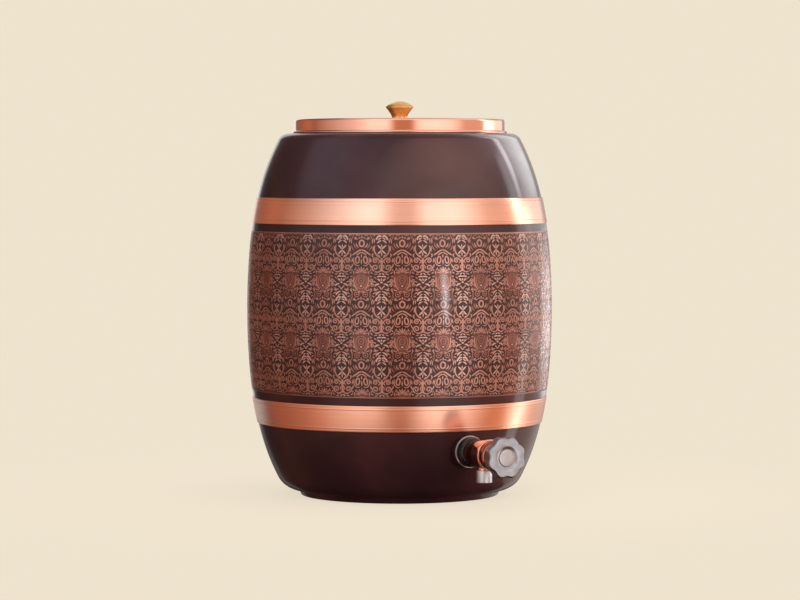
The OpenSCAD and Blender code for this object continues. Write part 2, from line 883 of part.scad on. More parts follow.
module spout_nozzle() {
    z0 = spout_end_z - nozzle_tip;
    z1 = nozzle_top_z;
    b = nozzle_bevel;
    color("silver")
        translate([0, -spout_s, 0])
            difference() {
                rotate_extrude()
                    polygon([
                        [0, z0],
                        [nozzle_d / 2 - b, z0],
                        [nozzle_d / 2, z0 + b],
                        [nozzle_d / 2, z1 - b],
                        [nozzle_d / 2 - b, z1],
                        [0, z1]
                    ]);
                translate([0, 0, z0 - 1])
                    cylinder(r = spout_bore_d / 2, h = nozzle_tip + 2);
                translate([0, 0, spout_end_z])
                    cylinder(r = spout_d / 2 + fit, h = nozzle_cover + 1);
            }
}

module nozzle_seal() {
    color("dimgray")
        translate([0, -spout_s, seal_z])
            o_ring(seal_groove_r + fit / 2, o_ring_t * 0.9);
}

lower_shell();
upper_shell();
base_plate();
foot_ring();
neck_collar();
lower_hoop();
upper_hoop();
tap_boss();
lid_cover();
lid_knob();
lid_washer();
lid_screw();
seat_washer();
outer_gasket();
tap_body();
inner_gasket();
backing_washer();
lock_nut();
bonnet_seal();
bonnet();
spindle();
spindle_o_ring();
jumper();
valve_washer();
washer_screw();
tap_knob();
knob_screw();
knob_cap();
spout_nozzle();
nozzle_seal();
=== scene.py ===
from math import acos, atan, atan2, cos, pi, radians, sin, sqrt, tan

import bpy
import numpy as np
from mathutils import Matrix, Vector


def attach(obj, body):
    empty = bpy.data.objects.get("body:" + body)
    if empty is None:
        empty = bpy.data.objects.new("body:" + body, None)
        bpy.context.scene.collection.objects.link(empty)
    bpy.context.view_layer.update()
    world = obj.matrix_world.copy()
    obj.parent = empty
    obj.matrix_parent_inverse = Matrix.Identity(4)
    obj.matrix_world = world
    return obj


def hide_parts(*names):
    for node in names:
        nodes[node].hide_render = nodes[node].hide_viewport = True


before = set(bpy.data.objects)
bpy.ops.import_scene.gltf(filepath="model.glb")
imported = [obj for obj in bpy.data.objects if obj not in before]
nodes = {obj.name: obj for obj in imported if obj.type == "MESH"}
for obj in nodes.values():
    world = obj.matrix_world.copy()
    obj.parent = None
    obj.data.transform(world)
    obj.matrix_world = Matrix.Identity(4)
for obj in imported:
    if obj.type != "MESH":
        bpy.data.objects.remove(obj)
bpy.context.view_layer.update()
scene = bpy.context.scene

# Sizes of the part, in millimetres, as in the CAD
MM = 0.001
BELLY_R, TOP_R, LOW_R = 122.2, 97.3, 97.9
UPPER_SPAN, LOWER_SPAN, SQUARE = 136.0, 134.0, 0.42
WALL, FIT = 1.0, 0.05
SHOULDER_R, BOTTOM_R, LEDGE_W = 9.0, 19.0, 11.0
FOOT_H, FOOT_W, FOOT_TAPER = 4.4, 8.0, 1.8
HOOP_W, HOOP_T, HOOP_EDGE, BAND_H = 20.5, 0.7, 0.25, 139.0
LINE_R, LINE_INSET, LINE_RISE = 0.6, 2.8, 0.16
SEAM_LAP, DAMASK_H = 8.0, 125.0
LID_INSET, LID_H, LID_EDGE, LID_HOLE_R = 5.0, 11.6, 2.0, 2.2
PANEL_R, PANEL_DEPTH, BEAD_OUT, BEAD_R = 64.0, 1.0, 2.0, 1.2
LIP_INSET, COLLAR_INSET, COLLAR_DROP, FLANGE_W = 1.6, 0.8, 2.2, 4.0
GRIP_R, GRIP_NECK_R, GRIP_BORE_R, GRIP_BORE_L = 11.2, 6.2, 2.05, 9.0
GRIP_NECK_H, GRIP_RIM_H, GRIP_DOME_H = 3.0, 10.4, 5.0
BODY_BACK_R, BODY_EDGE, DOME_FRONT_R, RIM_L, BOSS_DROP = 9.4, 0.6, 9.7, 2.5, 2.8
SHANK_R, SHANK_HOLE_R, SHANK_EDGE, WATER_R = 6.0, 6.2, 0.6, 3.5
SPIGOT_HOLE_R, SPIGOT_R, SEAT_R, SEAT_DEPTH = 7.5, 7.4, 6.5, 18.0
SPOUT_R, SPOUT_BORE_R, SPOUT_REACH = 5.0, 3.2, 7.0
SPINDLE_HOLE_R, STEM_HOLE_R, BONNET_NECK_R, BONNET_NECK_L = 4.05, 5.05, 6.0, 4.0
KNOB_R, KNOB_BACK_R, KNOB_EDGE, KNOB_BORE_L = 16.2, 12.2, 1.7, 5.5
LOBES, HOLLOW_R, HOLLOW_DEPTH, DISH_R, RECESS_R = 8, 8.0, 1.6, 9.05, 6.75
CAP_EDGE, CAP_CROWN = 0.45, 0.25

END_SLOPE = 2 * (1 - SQUARE) + 4 * SQUARE
TOP_LEAN = atan((BELLY_R - TOP_R) / UPPER_SPAN * END_SLOPE)
LOW_LEAN = atan((BELLY_R - LOW_R) / LOWER_SPAN * END_SLOPE)
LOW_Z = FOOT_H + BOTTOM_R * (1 - sin(LOW_LEAN))
BELLY_Z = LOW_Z + LOWER_SPAN
TOP_Z = BELLY_Z + UPPER_SPAN
SEAM_Z = BELLY_Z + SEAM_LAP / 2
LOWER_HOOP_Z, UPPER_HOOP_Z = BELLY_Z - BAND_H / 2 - HOOP_W, BELLY_Z + BAND_H / 2
DAMASK_LOW, DAMASK_TOP = BELLY_Z - DAMASK_H / 2, BELLY_Z + DAMASK_H / 2
SHOULDER_FLAT_R = TOP_R - SHOULDER_R * cos(TOP_LEAN)
SHOULDER_Z = TOP_Z + SHOULDER_R * (1 - sin(TOP_LEAN))
FOOT_FLAT_R = LOW_R - BOTTOM_R * cos(LOW_LEAN)
LEDGE_R = FOOT_FLAT_R - LEDGE_W
LID_R = SHOULDER_FLAT_R - LID_INSET
LID_TOP = SHOULDER_Z + LID_H
PANEL_Z = LID_TOP - PANEL_DEPTH
LIP_R = LID_R - LIP_INSET
COLLAR_R = LIP_R - COLLAR_INSET
COLLAR_TOP = LID_TOP - COLLAR_DROP


# Places along the tap, from the frame: the distance s from the barrel's axis and the radius about the tap's
def tap_span(name):
    box = np.array([nodes[name].matrix_world @ v.co for v in nodes[name].data.vertices]) / MM
    return -box[:, 1].max(), -box[:, 1].min(), (box[:, 0].max() - box[:, 0].min()) / 2


def height_span(name):
    z = [(nodes[name].matrix_world @ v.co).z / MM for v in nodes[name].data.vertices]
    return min(z), max(z)


BOSS_BACK, BOSS_FRONT, BOSS_R = tap_span("tap_boss")
_, DOME_S, WASHER_R = tap_span("seat_washer")
_, TAP_BACK, DOME_R = tap_span("outer_gasket")
SHANK_S, TAP_FRONT, BODY_R = tap_span("tap_body")
_, BONNET_S, _ = tap_span("bonnet_seal")
SPIGOT_S, BONNET_FRONT, BONNET_R = tap_span("bonnet")
KNOB_S, KNOB_FRONT, _ = tap_span("tap_knob")
RECESS_S, CAP_FRONT, CAP_R = tap_span("knob_cap")
NOZZLE_BACK, NOZZLE_FRONT, NOZZLE_R = tap_span("spout_nozzle")
NOZZLE_LOW, NOZZLE_TOP = height_span("spout_nozzle")
SPOUT_LOW, SPOUT_S = height_span("tap_body")[0], (NOZZLE_BACK + NOZZLE_FRONT) / 2
TAP_Z = LOWER_HOOP_Z - BOSS_DROP - BOSS_R


# The barrel's side: its radius and lean at a height, as in the CAD
def side_parts(z):
    z = np.asarray(z, float)
    up = z >= BELLY_Z
    span = np.where(up, TOP_Z - BELLY_Z, BELLY_Z - LOW_Z)
    drop = np.where(up, BELLY_R - TOP_R, BELLY_R - LOW_R)
    t = np.abs(z - BELLY_Z) / span
    r = BELLY_R - drop * ((1 - SQUARE) * t ** 2 + SQUARE * t ** 4)
    lean = np.arctan(drop / span * (2 * (1 - SQUARE) * t + 4 * SQUARE * t ** 3)) * np.where(up, 1, -1)
    return r, lean


def side(z, out=0.0):
    """The point (radius, height) that lies out from the side at a height."""
    r, lean = side_parts(z)
    return np.stack([r + out * np.cos(lean), np.asarray(z, float) + out * np.sin(lean)], -1)


def side_line(heights, out=0.0):
    return [tuple(p) for p in side(heights, out)]


def arc(centre, radius, start, end, n):
    a = np.radians(np.linspace(start, end, n))
    return [(centre[0] + radius * cos(t), centre[1] + radius * sin(t)) for t in a]


def rounded(corners, steps=4):
    """Points of a closed outline whose corners (x, y, radius) are rounded."""
    out = []
    for i, (x, y, radius) in enumerate(corners):
        if radius <= 0:
            out.append((x, y))
            continue
        c = np.array([x, y])
        a = np.array(corners[i - 1][:2]) - c
        b = np.array(corners[(i + 1) % len(corners)][:2]) - c
        a, b = a / np.linalg.norm(a), b / np.linalg.norm(b)
        half = acos(max(-1, min(1, float(a @ b)))) / 2
        start, end = c + a * radius / tan(half), c + b * radius / tan(half)
        mid = c + (a + b) / np.linalg.norm(a + b) * radius / sin(half)
        first = atan2(*(start - mid)[::-1])
        turn = (atan2(*(end - mid)[::-1]) - first + pi) % (2 * pi) - pi
        for t in (first + turn * k / steps for k in range(steps + 1)):
            out.append(tuple(mid + radius * np.array([cos(t), sin(t)])))
    return out


SHARP = 38


def new_object(name, verts, faces, materials, body, replaced=(), face_material=None, sharp=SHARP):
    """A piece with its mesh in millimetres; edges over sharp degrees stay sharp."""
    mesh = bpy.data.meshes.new(name)
    mesh.from_pydata([tuple(v) for v in np.asarray(verts) * MM], [], faces)
    for m in materials:
        mesh.materials.append(m)
    if face_material is not None:
        mesh.polygons.foreach_set("material_index", face_material)
    mesh.shade_smooth()
    if sharp:
        mesh.set_sharp_from_angle(angle=radians(sharp))
    obj = bpy.data.objects.new(name, mesh)
    scene.collection.objects.link(obj)
    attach(obj, body)
    if replaced:
        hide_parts(*replaced)
    return obj


def turned(profile, segments, edge_material=None):
    """Vertices, faces and face materials of a closed profile of (radius, height) that is turned about Z."""
    angle = np.arange(segments) * 2 * pi / segments
    verts, rows = [], []
    for r, h in profile:
        if r < 1e-6:
            rows.append([len(verts)] * segments)
            verts.append((0, 0, h))
        else:
            rows.append(list(range(len(verts), len(verts) + segments)))
            verts += [(r * cos(a), r * sin(a), h) for a in angle]
    faces, mats = [], []
    for i, row in enumerate(rows):
        nxt = rows[(i + 1) % len(rows)]
        if row[0] == row[-1] and nxt[0] == nxt[-1]:
            continue
        for j in range(segments):
            k = (j + 1) % segments
            if row[0] == row[-1]:
                faces.append((row[0], nxt[k], nxt[j]))
            elif nxt[0] == nxt[-1]:
                faces.append((row[j], row[k], nxt[0]))
            else:
                faces.append((row[j], row[k], nxt[k], nxt[j]))
            mats.append(edge_material[i] if edge_material else 0)
    return np.array(verts), faces, mats


def on_tap(verts):
    """From the tap's own axes, Z out of the barrel and Y up, to the part's."""
    v = np.asarray(verts, float)
    return np.stack([v[:, 0], -v[:, 2], TAP_Z + v[:, 1]], 1)


SEGMENTS, TAP_SEGMENTS = 384, 128


def barrel_piece(name, replaced, profile, material, body, segments=SEGMENTS):
    """A piece of one material that is turned about the barrel's axis."""
    verts, faces, _ = turned(profile, segments)
    new_object(name, verts, faces, (material,), body, replaced)


def tap_piece(name, replaced, profile, material, body):
    """A piece of one material that is turned about the tap's axis."""
    verts, faces, _ = turned(profile, TAP_SEGMENTS)
    new_object(name, on_tap(verts), faces, (material,), body, replaced)


def add_node(tree, kind, *inputs, **settings):
    """A shader node, with its inputs linked or set in order; None leaves one as it is."""
    n = tree.nodes.new("ShaderNode" + kind)
    for key, value in settings.items():
        setattr(n, key, value)
    for i, value in enumerate(inputs):
        if isinstance(value, bpy.types.NodeSocket):
            tree.links.new(value, n.inputs[i])
        elif value is not None:
            n.inputs[i].default_value = value
    return n


# Materials
class Finish:
    """A Principled material with its nodes built from the object's own coordinates."""

    def __init__(self, name, **sockets):
        self.mat = bpy.data.materials.new(name)
        self.mat.use_nodes = True
        self.tree = self.mat.node_tree
        self.bsdf = self.tree.nodes["Principled BSDF"]
        for key, value in sockets.items():
            self.bsdf.inputs[key.replace("_", " ")].default_value = value
        self.coord = self.node("TexCoord").outputs["Object"]

    def node(self, kind, *inputs, **settings):
        return add_node(self.tree, kind, *inputs, **settings)

    def noise(self, scale, detail, stretch=(1, 1, 1)):
        spread = self.node("Mapping", self.coord, None, None, stretch).outputs["Vector"]
        return self.node("TexNoise", spread, None, scale, detail).outputs["Fac"]

    def spun(self, scale, detail):
        """Fine lines round the barrel's axis, on upright and on level faces alike."""
        flat = self.node("VectorMath", self.coord, (1, 1, 0), operation="MULTIPLY").outputs["Vector"]
        off_axis = self.node("VectorMath", flat, operation="LENGTH").outputs["Value"]
        height = self.node("SeparateXYZ", self.coord).outputs["Z"]
        both = self.node("Math", off_axis, height, operation="ADD").outputs["Value"]
        return self.node("TexNoise", None, both, scale, detail, noise_dimensions="1D").outputs["Fac"]

    def colours(self, fac, tones):
        ramp = self.node("ValToRGB", fac)
        band = ramp.color_ramp
        while len(band.elements) < len(tones):
            band.elements.new(0.5)
        for e, (at, tone) in zip(band.elements, tones.items()):
            e.position = at
            e.color = (*tone, 1)
        self.tree.links.new(ramp.outputs["Color"], self.bsdf.inputs["Base Color"])

    def vary(self, fac, low, high, socket="Roughness"):
        span = self.node("MapRange", fac, 0.3, 0.7, low, high)
        self.tree.links.new(span.outputs["Result"], self.bsdf.inputs[socket])

    def bump(self, fac, strength, distance):
        b = self.node("Bump")
        b.inputs["Strength"].default_value = strength
        b.inputs["Distance"].default_value = distance
        self.tree.links.new(fac, b.inputs["Height"])
        self.tree.links.new(b.outputs["Normal"], self.bsdf.inputs["Normal"])


FINE = 0.0002


def finish(name, tones, grain, polish, rough, relief, strength, distance=FINE, **sockets):
    """A Finish whose tones, roughness and relief each follow a noise of (scale, detail)."""
    f = Finish(name, **sockets)
    f.colours(f.noise(*grain), tones)
    f.vary(f.noise(*polish), *rough)
    f.bump(f.noise(*relief), strength, distance)
    return f


def spun_metal(name, tones, grain, polish, rough, lines, strength, spun_tones=False):
    """A bare metal with fine lines round the barrel's axis in its relief, and in its tones too if asked."""
    f = Finish(name, Metallic=1.0)
    f.colours(f.spun(*grain) if spun_tones else f.noise(*grain), tones)
    f.vary(f.noise(*polish), *rough)
    f.bump(f.spun(*lines), strength, FINE)
    return f.mat


lacquer = finish(
    "lacquer_brown",
    {0.3: (0.014, 0.0058, 0.0085), 0.5: (0.027, 0.0104, 0.0124), 0.72: (0.05, 0.019, 0.0195)},
    (11, 5), (60, 3), (0.3, 0.42), (26, 3), 0.12, 0.002,
    Coat_Weight=1.0, Coat_Roughness=0.05, Coat_IOR=1.3, Specular_IOR_Level=0.1)
lacquer.vary(lacquer.noise(13, 4, (1, 1, 1.6)), 0.62, 1.0, "Coat Weight")
LACQUER = lacquer.mat

GROUND = finish(
    "lacquer_ground", {0.42: (0.02, 0.007, 0.0066), 0.55: (0.032, 0.0125, 0.0112), 0.7: (0.07, 0.029, 0.025)},
    (750, 3), (80, 3), (0.4, 0.55), (70, 2), 0.05, 0.0005,
    Coat_Weight=0.45, Coat_Roughness=0.1, Coat_IOR=1.5, Specular_IOR_Level=0.15).mat


def spun_copper(name, smooth, dull):
    tones = {0.2: (0.87, 0.5, 0.37), 0.5: (0.91, 0.54, 0.41), 0.8: (0.94, 0.58, 0.45)}
    return spun_metal(name, tones, (700, 3), (45, 4), (smooth, dull), (1500, 2), 0.012, spun_tones=True)


LID_COPPER = spun_copper("copper_lid", 0.09, 0.13)
HIGH_COPPER = spun_copper("copper_hoop_high", 0.2, 0.25)
LOW_COPPER = spun_copper("copper_hoop_low", 0.27, 0.33)

INSIDE = spun_metal(
    "copper_inside", {0.3: (0.66, 0.36, 0.26), 0.55: (0.8, 0.49, 0.37), 0.75: (0.9, 0.59, 0.46)},
    (30, 6), (50, 4), (0.28, 0.45), (600, 2), 0.1)


def damask_finish(name, dark, middle, light):
    return finish(
        name, {0.3: dark, 0.5: middle, 0.72: light}, (34, 5), (400, 3), (0.42, 0.56), (900, 2), 0.08,
        Metallic=1.0, Coat_Weight=0.45, Coat_Roughness=0.1, Coat_IOR=1.5).mat


DAMASK_PALE = damask_finish(
    "copper_damask_pale", (0.43, 0.27, 0.225), (0.54, 0.355, 0.3), (0.62, 0.42, 0.365))
DAMASK = damask_finish("copper_damask", (0.33, 0.165, 0.125), (0.43, 0.225, 0.175), (0.52, 0.29, 0.23))
DAMASK_DIM = damask_finish(
    "copper_damask_dim", (0.21, 0.09, 0.068), (0.28, 0.125, 0.096), (0.35, 0.165, 0.13))
DAMASK_FIELD = damask_finish(
    "copper_damask_field", (0.1, 0.042, 0.034), (0.135, 0.058, 0.048), (0.17, 0.076, 0.063))

TAP_COPPER = finish(
    "copper_tap", {0.3: (0.84, 0.48, 0.36), 0.55: (0.89, 0.53, 0.41), 0.8: (0.92, 0.57, 0.45)},
    (60, 3), (90, 3), (0.06, 0.12), (240, 2), 0.01, Metallic=1.0).mat

# Darker copper that stands in for shade: painted shade and painted dark reflection, laid on the back half of
# the tap's bell and on the bonnet collar
COPPER_PAINTED_SHADE = finish(
    "copper_painted_shade", {0.3: (0.3, 0.11, 0.07), 0.55: (0.36, 0.14, 0.09), 0.8: (0.42, 0.18, 0.12)},
    (60, 3), (90, 3), (0.1, 0.18), (240, 2), 0.01, Metallic=1.0).mat

BRASS = spun_metal(
    "brass_polished", {0.3: (0.72, 0.39, 0.11), 0.55: (0.84, 0.49, 0.16), 0.8: (0.9, 0.58, 0.23)},
    (140, 4), (260, 4), (0.26, 0.36), (2200, 2), 0.02)

BRASS_PLAIN = finish(
    "brass_plain", {0.3: (0.6, 0.42, 0.18), 0.6: (0.74, 0.55, 0.27), 0.8: (0.82, 0.64, 0.35)},
    (180, 5), (300, 4), (0.3, 0.45), (700, 3), 0.08, Metallic=1.0).mat

SATIN = finish(
    "silver_satin", {0.3: (0.3, 0.34, 0.38), 0.55: (0.37, 0.415, 0.465), 0.8: (0.44, 0.49, 0.545)},
    (160, 5), (420, 4), (0.28, 0.4), (1600, 3), 0.12, Metallic=1.0).mat

CAP = finish(
    "silver_cap", {0.3: (0.38, 0.4, 0.415), 0.6: (0.45, 0.475, 0.49), 0.8: (0.51, 0.535, 0.55)},
    (200, 5), (500, 4), (0.3, 0.42), (2200, 3), 0.1, Metallic=1.0).mat

CHROME = finish(
    "chrome_plated", {0.3: (0.5, 0.56, 0.62), 0.6: (0.57, 0.635, 0.7), 0.8: (0.64, 0.71, 0.78)},
    (150, 5), (300, 4), (0.36, 0.46), (900, 2), 0.05, Metallic=1.0).mat

STEEL = finish(
    "steel_plain", {0.3: (0.24, 0.235, 0.235), 0.6: (0.31, 0.3, 0.3), 0.8: (0.38, 0.37, 0.37)},
    (170, 5), (300, 4), (0.2, 0.34), (1200, 2), 0.06, Metallic=1.0).mat

RUBBER = finish(
    "rubber_black", {0.3: (0.008, 0.007, 0.007), 0.7: (0.018, 0.0155, 0.016)},
    (200, 5), (350, 4), (0.22, 0.36), (1500, 3), 0.06, Coat_Weight=0.6, Coat_Roughness=0.12).mat

RUBBER_GLOSS = finish(
    "rubber_gloss", {0.3: (0.006, 0.005, 0.0055), 0.7: (0.012, 0.0105, 0.011)},
    (200, 5), (350, 4), (0.22, 0.36), (1500, 3), 0.03,
    Coat_Weight=1.0, Coat_Roughness=0.06, Coat_IOR=1.35, Specular_IOR_Level=0.15).mat

FIBRE = finish(
    "fibre_red", {0.3: (0.16, 0.025, 0.017), 0.7: (0.28, 0.05, 0.03)},
    (500, 6), (600, 4), (0.6, 0.8), (2500, 4), 0.3).mat

# Inner pieces keep their CAD shape
for material, names in (
    (INSIDE, ("base_plate",)),
    (BRASS_PLAIN, ("lid_washer", "lid_screw", "backing_washer", "lock_nut", "spindle", "jumper",
                   "washer_screw")),
    (RUBBER, ("inner_gasket", "spindle_o_ring", "valve_washer", "nozzle_seal")),
    (FIBRE, ("bonnet_seal",)),
    (STEEL, ("knob_screw",)),
):
    for name in names:
        for s in nodes[name].material_slots:
            s.material = material

# Barrel halves: lacquer outside, bare copper inside
PLAIN, BARE, BAND = 0, 1, 2
low_lean, top_lean = np.degrees(LOW_LEAN), np.degrees(TOP_LEAN)
bend = (FOOT_FLAT_R, FOOT_H + BOTTOM_R)
heights = np.concatenate([np.linspace(LOW_Z, DAMASK_LOW, 50), np.linspace(DAMASK_LOW, SEAM_Z, 42)[1:]])
outer = [(LEDGE_R, FOOT_H)] + arc(bend, BOTTOM_R, -90, -low_lean, 18)[:-1] + side_line(heights)
inner = side_line(heights[::-1], -WALL) + arc(bend, BOTTOM_R - WALL, -low_lean, -90, 18)[1:]
inner += [(LEDGE_R, FOOT_H + WALL)]
kinds = [BAND if DAMASK_LOW <= z < SEAM_Z else PLAIN for _, z in outer]
verts, faces, mats = turned(outer + inner, SEGMENTS, kinds + [BARE] * len(inner))
lower = new_object("barrel_lower", verts, faces, (LACQUER, INSIDE, GROUND), "vessel",
                   ("lower_shell",), mats)

hole_r, past = BOSS_R + FIT, 4
start, end = BOSS_BACK - past, BOSS_FRONT + past
hole_v, hole_f, _ = turned([(0, start), (hole_r, start), (hole_r, end), (0, end)], 96)
cutter_mesh = bpy.data.meshes.new("hole")
cutter_mesh.from_pydata([tuple(v) for v in on_tap(hole_v) * MM], [], hole_f)
cutter = bpy.data.objects.new("hole", cutter_mesh)
scene.collection.objects.link(cutter)
cut = lower.modifiers.new("hole", "BOOLEAN")
cut.object, cut.operation, cut.solver = cutter, "DIFFERENCE", "EXACT"
bpy.context.view_layer.update()
cut_mesh = bpy.data.meshes.new_from_object(lower.evaluated_get(bpy.context.evaluated_depsgraph_get()))
lower.modifiers.remove(cut)
lower.data = cut_mesh
bpy.data.objects.remove(cutter)
lower.data.shade_smooth()
lower.data.set_sharp_from_angle(angle=radians(SHARP))

lap, lap_rows, mouth_r = WALL + FIT, 5, COLLAR_R + FIT
bend = (SHOULDER_FLAT_R, SHOULDER_Z - SHOULDER_R)
heights = np.concatenate([np.linspace(SEAM_Z, DAMASK_TOP, 38), np.linspace(DAMASK_TOP, TOP_Z, 52)[1:]])
outer = side_line(np.linspace(SEAM_Z - SEAM_LAP, SEAM_Z, lap_rows), -lap) + side_line(heights)
outer += arc(bend, SHOULDER_R, top_lean, 90, 18)[1:] + [(mouth_r, SHOULDER_Z)]
inner = [(mouth_r, SHOULDER_Z - WALL)] + arc(bend, SHOULDER_R - WALL, 90, top_lean, 18)
inner += side_line(np.linspace(TOP_Z, SEAM_Z + WALL, 90)[1:], -WALL)
inner += side_line(np.linspace(SEAM_Z + WALL, SEAM_Z - SEAM_LAP, lap_rows), -lap - WALL)
kinds = [BARE] * (lap_rows - 1)
kinds += [BAND if z < DAMASK_TOP - 0.01 else PLAIN for _, z in outer[lap_rows - 1:]]
verts, faces, mats = turned(outer + inner, SEGMENTS, kinds + [BARE] * len(inner))
new_object("barrel_upper", verts, faces, (LACQUER, INSIDE, GROUND), "vessel",
           ("upper_shell",), mats)

# Foot ring and neck collar
foot_in = FOOT_FLAT_R - FOOT_W
profile = rounded([
    (foot_in, 0, 0.5), (FOOT_FLAT_R - FOOT_TAPER, 0, 0.9), (FOOT_FLAT_R, FOOT_H, 0), (foot_in, FOOT_H, 0)])
barrel_piece("foot", ("foot_ring",), profile, LACQUER, "vessel")
collar_in, flange_r, flange_z = COLLAR_R - WALL, COLLAR_R + FLANGE_W, SHOULDER_Z - WALL
profile = rounded([
    (collar_in, flange_z - WALL, 0.3), (flange_r, flange_z - WALL, 0.3), (flange_r, flange_z, 0),
    (COLLAR_R, flange_z, 0), (COLLAR_R, COLLAR_TOP - 2, 0), (LIP_R, COLLAR_TOP - 1.2, 0.3),
    (LIP_R, COLLAR_TOP - 0.4, 0.3), (LIP_R - 0.4, COLLAR_TOP, 0.2), (collar_in, COLLAR_TOP, 0.4),
])
barrel_piece("collar", ("neck_collar",), profile, INSIDE, "vessel")


# Hoops, with a raised line near each edge
def hoop(name, node, z0, material):
    z1 = z0 + HOOP_W
    lines = (z0 + LINE_INSET, z1 - LINE_INSET)
    zs = set(np.linspace(z0 + HOOP_EDGE, z1 - HOOP_EDGE, 31))
    for c in lines:
        zs = {z for z in zs if abs(z - c) > LINE_R + 0.1}
        zs |= set(c + LINE_R * np.sin(np.radians(np.linspace(-90, 90, 11))))
    zs = np.array(sorted(zs))
    rise = sum(np.sqrt(np.clip(LINE_R ** 2 - (zs - c) ** 2, 0, None)) for c in lines) * LINE_RISE
    outer = [tuple(side(z, FIT + HOOP_T + h)) for z, h in zip(zs, rise)]
    corner, cut = FIT + HOOP_T - HOOP_EDGE, HOOP_EDGE * sin(radians(45))
    low = [tuple(side(z0, corner)), tuple(side(z0 + HOOP_EDGE - cut, corner + cut))]
    high = [tuple(side(z1 - HOOP_EDGE + cut, corner + cut)), tuple(side(z1, corner))]
    inner = side_line(np.linspace(z1, z0, 24), FIT)
    barrel_piece(name, (node,), low + outer + high + inner, material, "vessel")


hoop("hoop_low", "lower_hoop", LOWER_HOOP_Z, LOW_COPPER)
hoop("hoop_high", "upper_hoop", UPPER_HOOP_Z, HIGH_COPPER)

# Lid with its rolled bead and sunk panel
bead = arc((LID_R + BEAD_OUT - BEAD_R, SHOULDER_Z + 0.8 * BEAD_R), BEAD_R, -53, 150, 20)
edge = (LID_R - LID_EDGE, LID_TOP - LID_EDGE)
profile = [(LID_HOLE_R, PANEL_Z - WALL), (PANEL_R - WALL, PANEL_Z - WALL), (PANEL_R, LID_TOP - WALL)]
profile += arc(edge, LID_EDGE - WALL, 90, 0, 8) + [(LID_R - WALL, SHOULDER_Z)]
profile += [(bead[0][0], SHOULDER_Z)] + bead + [(LID_R, SHOULDER_Z + 2.2)]
profile += [(LID_R, z) for z in np.linspace(SHOULDER_Z + 2.4, LID_TOP - 2.1, 8)]
profile += arc(edge, LID_EDGE, 0, 90, 10)
profile += [(edge[0] - d, LID_TOP) for d in np.linspace(1, edge[0] - PANEL_R, 10)]
profile += [(PANEL_R - 0.7, LID_TOP - 0.15), (PANEL_R - 1.5, LID_TOP - 0.7), (PANEL_R - 2.2, PANEL_Z)]
profile += [(r, PANEL_Z) for r in np.linspace(PANEL_R - 6, 6, 14)] + [(LID_HOLE_R, PANEL_Z)]
barrel_piece("lid", ("lid_cover",), profile, LID_COPPER, "lid")

# Brass knob of the lid
neck_z, rim_z, bore_z = PANEL_Z + GRIP_NECK_H, PANEL_Z + GRIP_RIM_H, PANEL_Z + GRIP_BORE_L
spread, tall = GRIP_R - GRIP_NECK_R, GRIP_RIM_H - GRIP_NECK_H
profile = [(GRIP_BORE_R, PANEL_Z), (GRIP_NECK_R - 0.3, PANEL_Z), (GRIP_NECK_R, PANEL_Z + 0.3)]
profile += [(GRIP_NECK_R + spread * t ** 1.3, neck_z + tall * t) for t in np.linspace(0, 1, 18)[:-1]]
profile += [(GRIP_R - 0.1, rim_z - 0.15)]
for a in np.radians(np.linspace(4, 90, 22)[:-1]):
    profile.append((GRIP_R * cos(a) ** 1.25, rim_z + GRIP_DOME_H * sin(a) ** 1.25))
profile += [(0, rim_z + GRIP_DOME_H), (0, bore_z), (GRIP_BORE_R, bore_z)]
barrel_piece("lid_grip", ("lid_knob",), profile, BRASS, "lid", TAP_SEGMENTS)


# Tap: boss, bright washer, black dome, bell-shaped body, bonnet, nozzle
def tap_ring(name, node, radius, back, front, edge, material):
    """A flat ring round the shank whose outer edges are rounded."""
    corners = [(SHANK_HOLE_R, back, 0), (radius, back, 0.4), (radius, front, edge), (SHANK_HOLE_R, front, 0)]
    tap_piece(name, (node,), rounded(corners, 6), material, "vessel")


tap_ring("boss", "tap_boss", BOSS_R, BOSS_BACK, BOSS_FRONT, 0.5, LACQUER)
tap_ring("washer", "seat_washer", WASHER_R, BOSS_FRONT, DOME_S, 0.55, STEEL)

swell, tall = DOME_R - DOME_FRONT_R, TAP_BACK - DOME_S
profile = [(SHANK_HOLE_R, DOME_S)]
profile += [(DOME_FRONT_R + swell * x, DOME_S + tall * y) for x, y in arc((0, 0), 1, 0, 90, 16)]
profile += [(SHANK_HOLE_R, TAP_BACK)]
tap_piece("dome", ("outer_gasket",), profile, RUBBER_GLOSS, "vessel")

rim_s = TAP_FRONT - RIM_L
flare, run = BODY_R - BODY_BACK_R, rim_s - TAP_BACK
profile = [(WATER_R, SHANK_S), (SHANK_R - SHANK_EDGE, SHANK_S), (SHANK_R, SHANK_S + SHANK_EDGE)]
profile += [(SHANK_R, TAP_BACK), (BODY_BACK_R - 0.3, TAP_BACK), (BODY_BACK_R - 0.08, TAP_BACK + 0.2)]
profile += [(BODY_BACK_R + flare * k, TAP_BACK + run * k) for k in np.linspace(0.03, 1, 16)]
profile += arc((BODY_R - BODY_EDGE, TAP_FRONT - BODY_EDGE), BODY_EDGE, 0, 90, 6)
profile += [(SPIGOT_HOLE_R, TAP_FRONT), (SPIGOT_HOLE_R, SPIGOT_S), (SEAT_R, SPIGOT_S)]
profile += [(WATER_R, TAP_FRONT - SEAT_DEPTH)]
# The outside of the bell's back half, behind its middle, takes the darker copper: painted shade
painted_shade = [1 if r > SPIGOT_HOLE_R + 0.1 and s < (TAP_BACK + rim_s) / 2 else 0 for r, s in profile]
verts, faces, mats = turned(profile, TAP_SEGMENTS, painted_shade)
spout_at, spout_top = np.array([0, -SPOUT_S, 0]), TAP_Z - SPOUT_REACH
spout, spout_f, _ = turned(rounded([
    (SPOUT_BORE_R, SPOUT_LOW, 0), (SPOUT_R, SPOUT_LOW, 0.4), (SPOUT_R, spout_top, 0),
    (SPOUT_BORE_R, spout_top, 0)]), 64)
faces += [tuple(i + len(verts) for i in face) for face in spout_f]
mats += [0] * len(spout_f)
